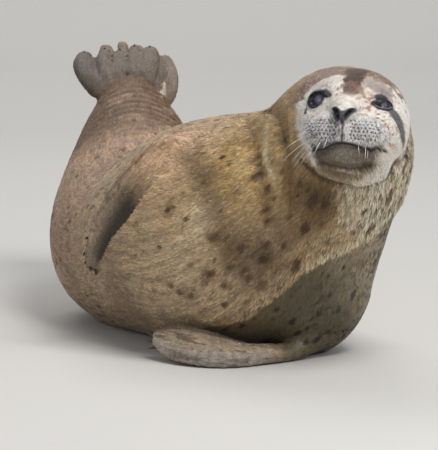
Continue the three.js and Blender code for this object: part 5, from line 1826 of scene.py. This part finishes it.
dots = plain_mesh("follicles", to_model(np.array(fv)), ff, [dot_mat])
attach(dots, "root")

# ------------------------------------------------------------------ studio
X0, X1 = -3.0, 3.0
fm, nt, b = material("studio_floor")
b.inputs["Base Color"].default_value = (0.62, 0.61, 0.59, 1)
b.inputs["Roughness"].default_value = 0.75
# seen from outside, the backdrop is clear, so the model can be looked at from behind
geo = nt.nodes.new("ShaderNodeNewGeometry")
clear = nt.nodes.new("ShaderNodeBsdfTransparent")
either = nt.nodes.new("ShaderNodeMixShader")
nt.links.new(geo.outputs["Backfacing"], either.inputs[0])
nt.links.new(b.outputs[0], either.inputs[1])
nt.links.new(clear.outputs[0], either.inputs[2])
nt.links.new(either.outputs[0], nt.nodes["Material Output"].inputs["Surface"])
floor_v, floor_f = [], []
prof = [(-4.0, 0.0), (2.2, 0.0), (2.7, 0.05), (3.0, 0.25), (3.15, 0.7), (3.2, 1.5), (3.2, 4.5)]
for y_, z_ in prof:
    floor_v += [(-6.0, y_, z_), (6.0, y_, z_)]
for i in range(len(prof) - 1):
    floor_f.append((2 * i, 2 * i + 1, 2 * i + 3, 2 * i + 2))
floor = plain_mesh("floor", floor_v, floor_f, [fm])


def area_light(name, at, target, size_, power, colour_=(1, 1, 1), size_y=None):
    ld = bpy.data.lights.new(name, "AREA")
    ld.shape = "RECTANGLE"
    ld.size = size_
    ld.size_y = size_y or size_
    ld.energy = power
    ld.color = colour_
    o = bpy.data.objects.new(name, ld)
    o.location = at
    o.rotation_euler = (Vector(target) - Vector(at)).to_track_quat("-Z", "Y").to_euler()
    bpy.context.scene.collection.objects.link(o)
    return o


area_light("key", (1.1, -1.55, 3.0), (0, 0, 0.2), 1.5, 80, (1.0, 0.985, 0.955), 1.4)
area_light("fill", (-2.2, -2.4, 1.4), (0, 0, 0.2), 2.0, 12, (1.0, 0.98, 0.95))
area_light("side", (2.6, -2.0, 1.7), (0.1, 0, 0.25), 1.2, 24, (1.0, 0.985, 0.96))
area_light("back", (-0.6, 2.0, 2.6), (-0.05, 0.2, 0.2), 2.2, 34, (1.0, 0.98, 0.95), 1.2)

world_ = bpy.data.worlds.new("studio")
world_.use_nodes = True
world_.node_tree.nodes["Background"].inputs["Color"].default_value = (0.92, 0.95, 1.0, 1)
world_.node_tree.nodes["Background"].inputs["Strength"].default_value = 0.29
bpy.context.scene.world = world_
bpy.context.scene.view_settings.view_transform = "Standard"

# ------------------------------------------------------------------ camera
E = math.radians(8)
DIST = 8.0
ZT = (365 - 225) / 755.0 / math.cos(E)
look = Vector((0.0, math.cos(E), -math.sin(E)))
offset = Vector([float(x) * 0.001 for x in SHIFT])
cam_d = bpy.data.cameras.new("camera")
cam_d.sensor_fit = "HORIZONTAL"
cam_d.sensor_width = 36.0
cam_d.lens = 755.0 * DIST / 438.0 * 36.0
cam_d.clip_end = 60.0
cam = bpy.data.objects.new("camera", cam_d)
cam.location = Vector((0.0, 0.0, ZT)) + offset - look * DIST
cam.rotation_euler = look.to_track_quat("-Z", "Y").to_euler()
bpy.context.scene.collection.objects.link(cam)
bpy.context.scene.camera = cam
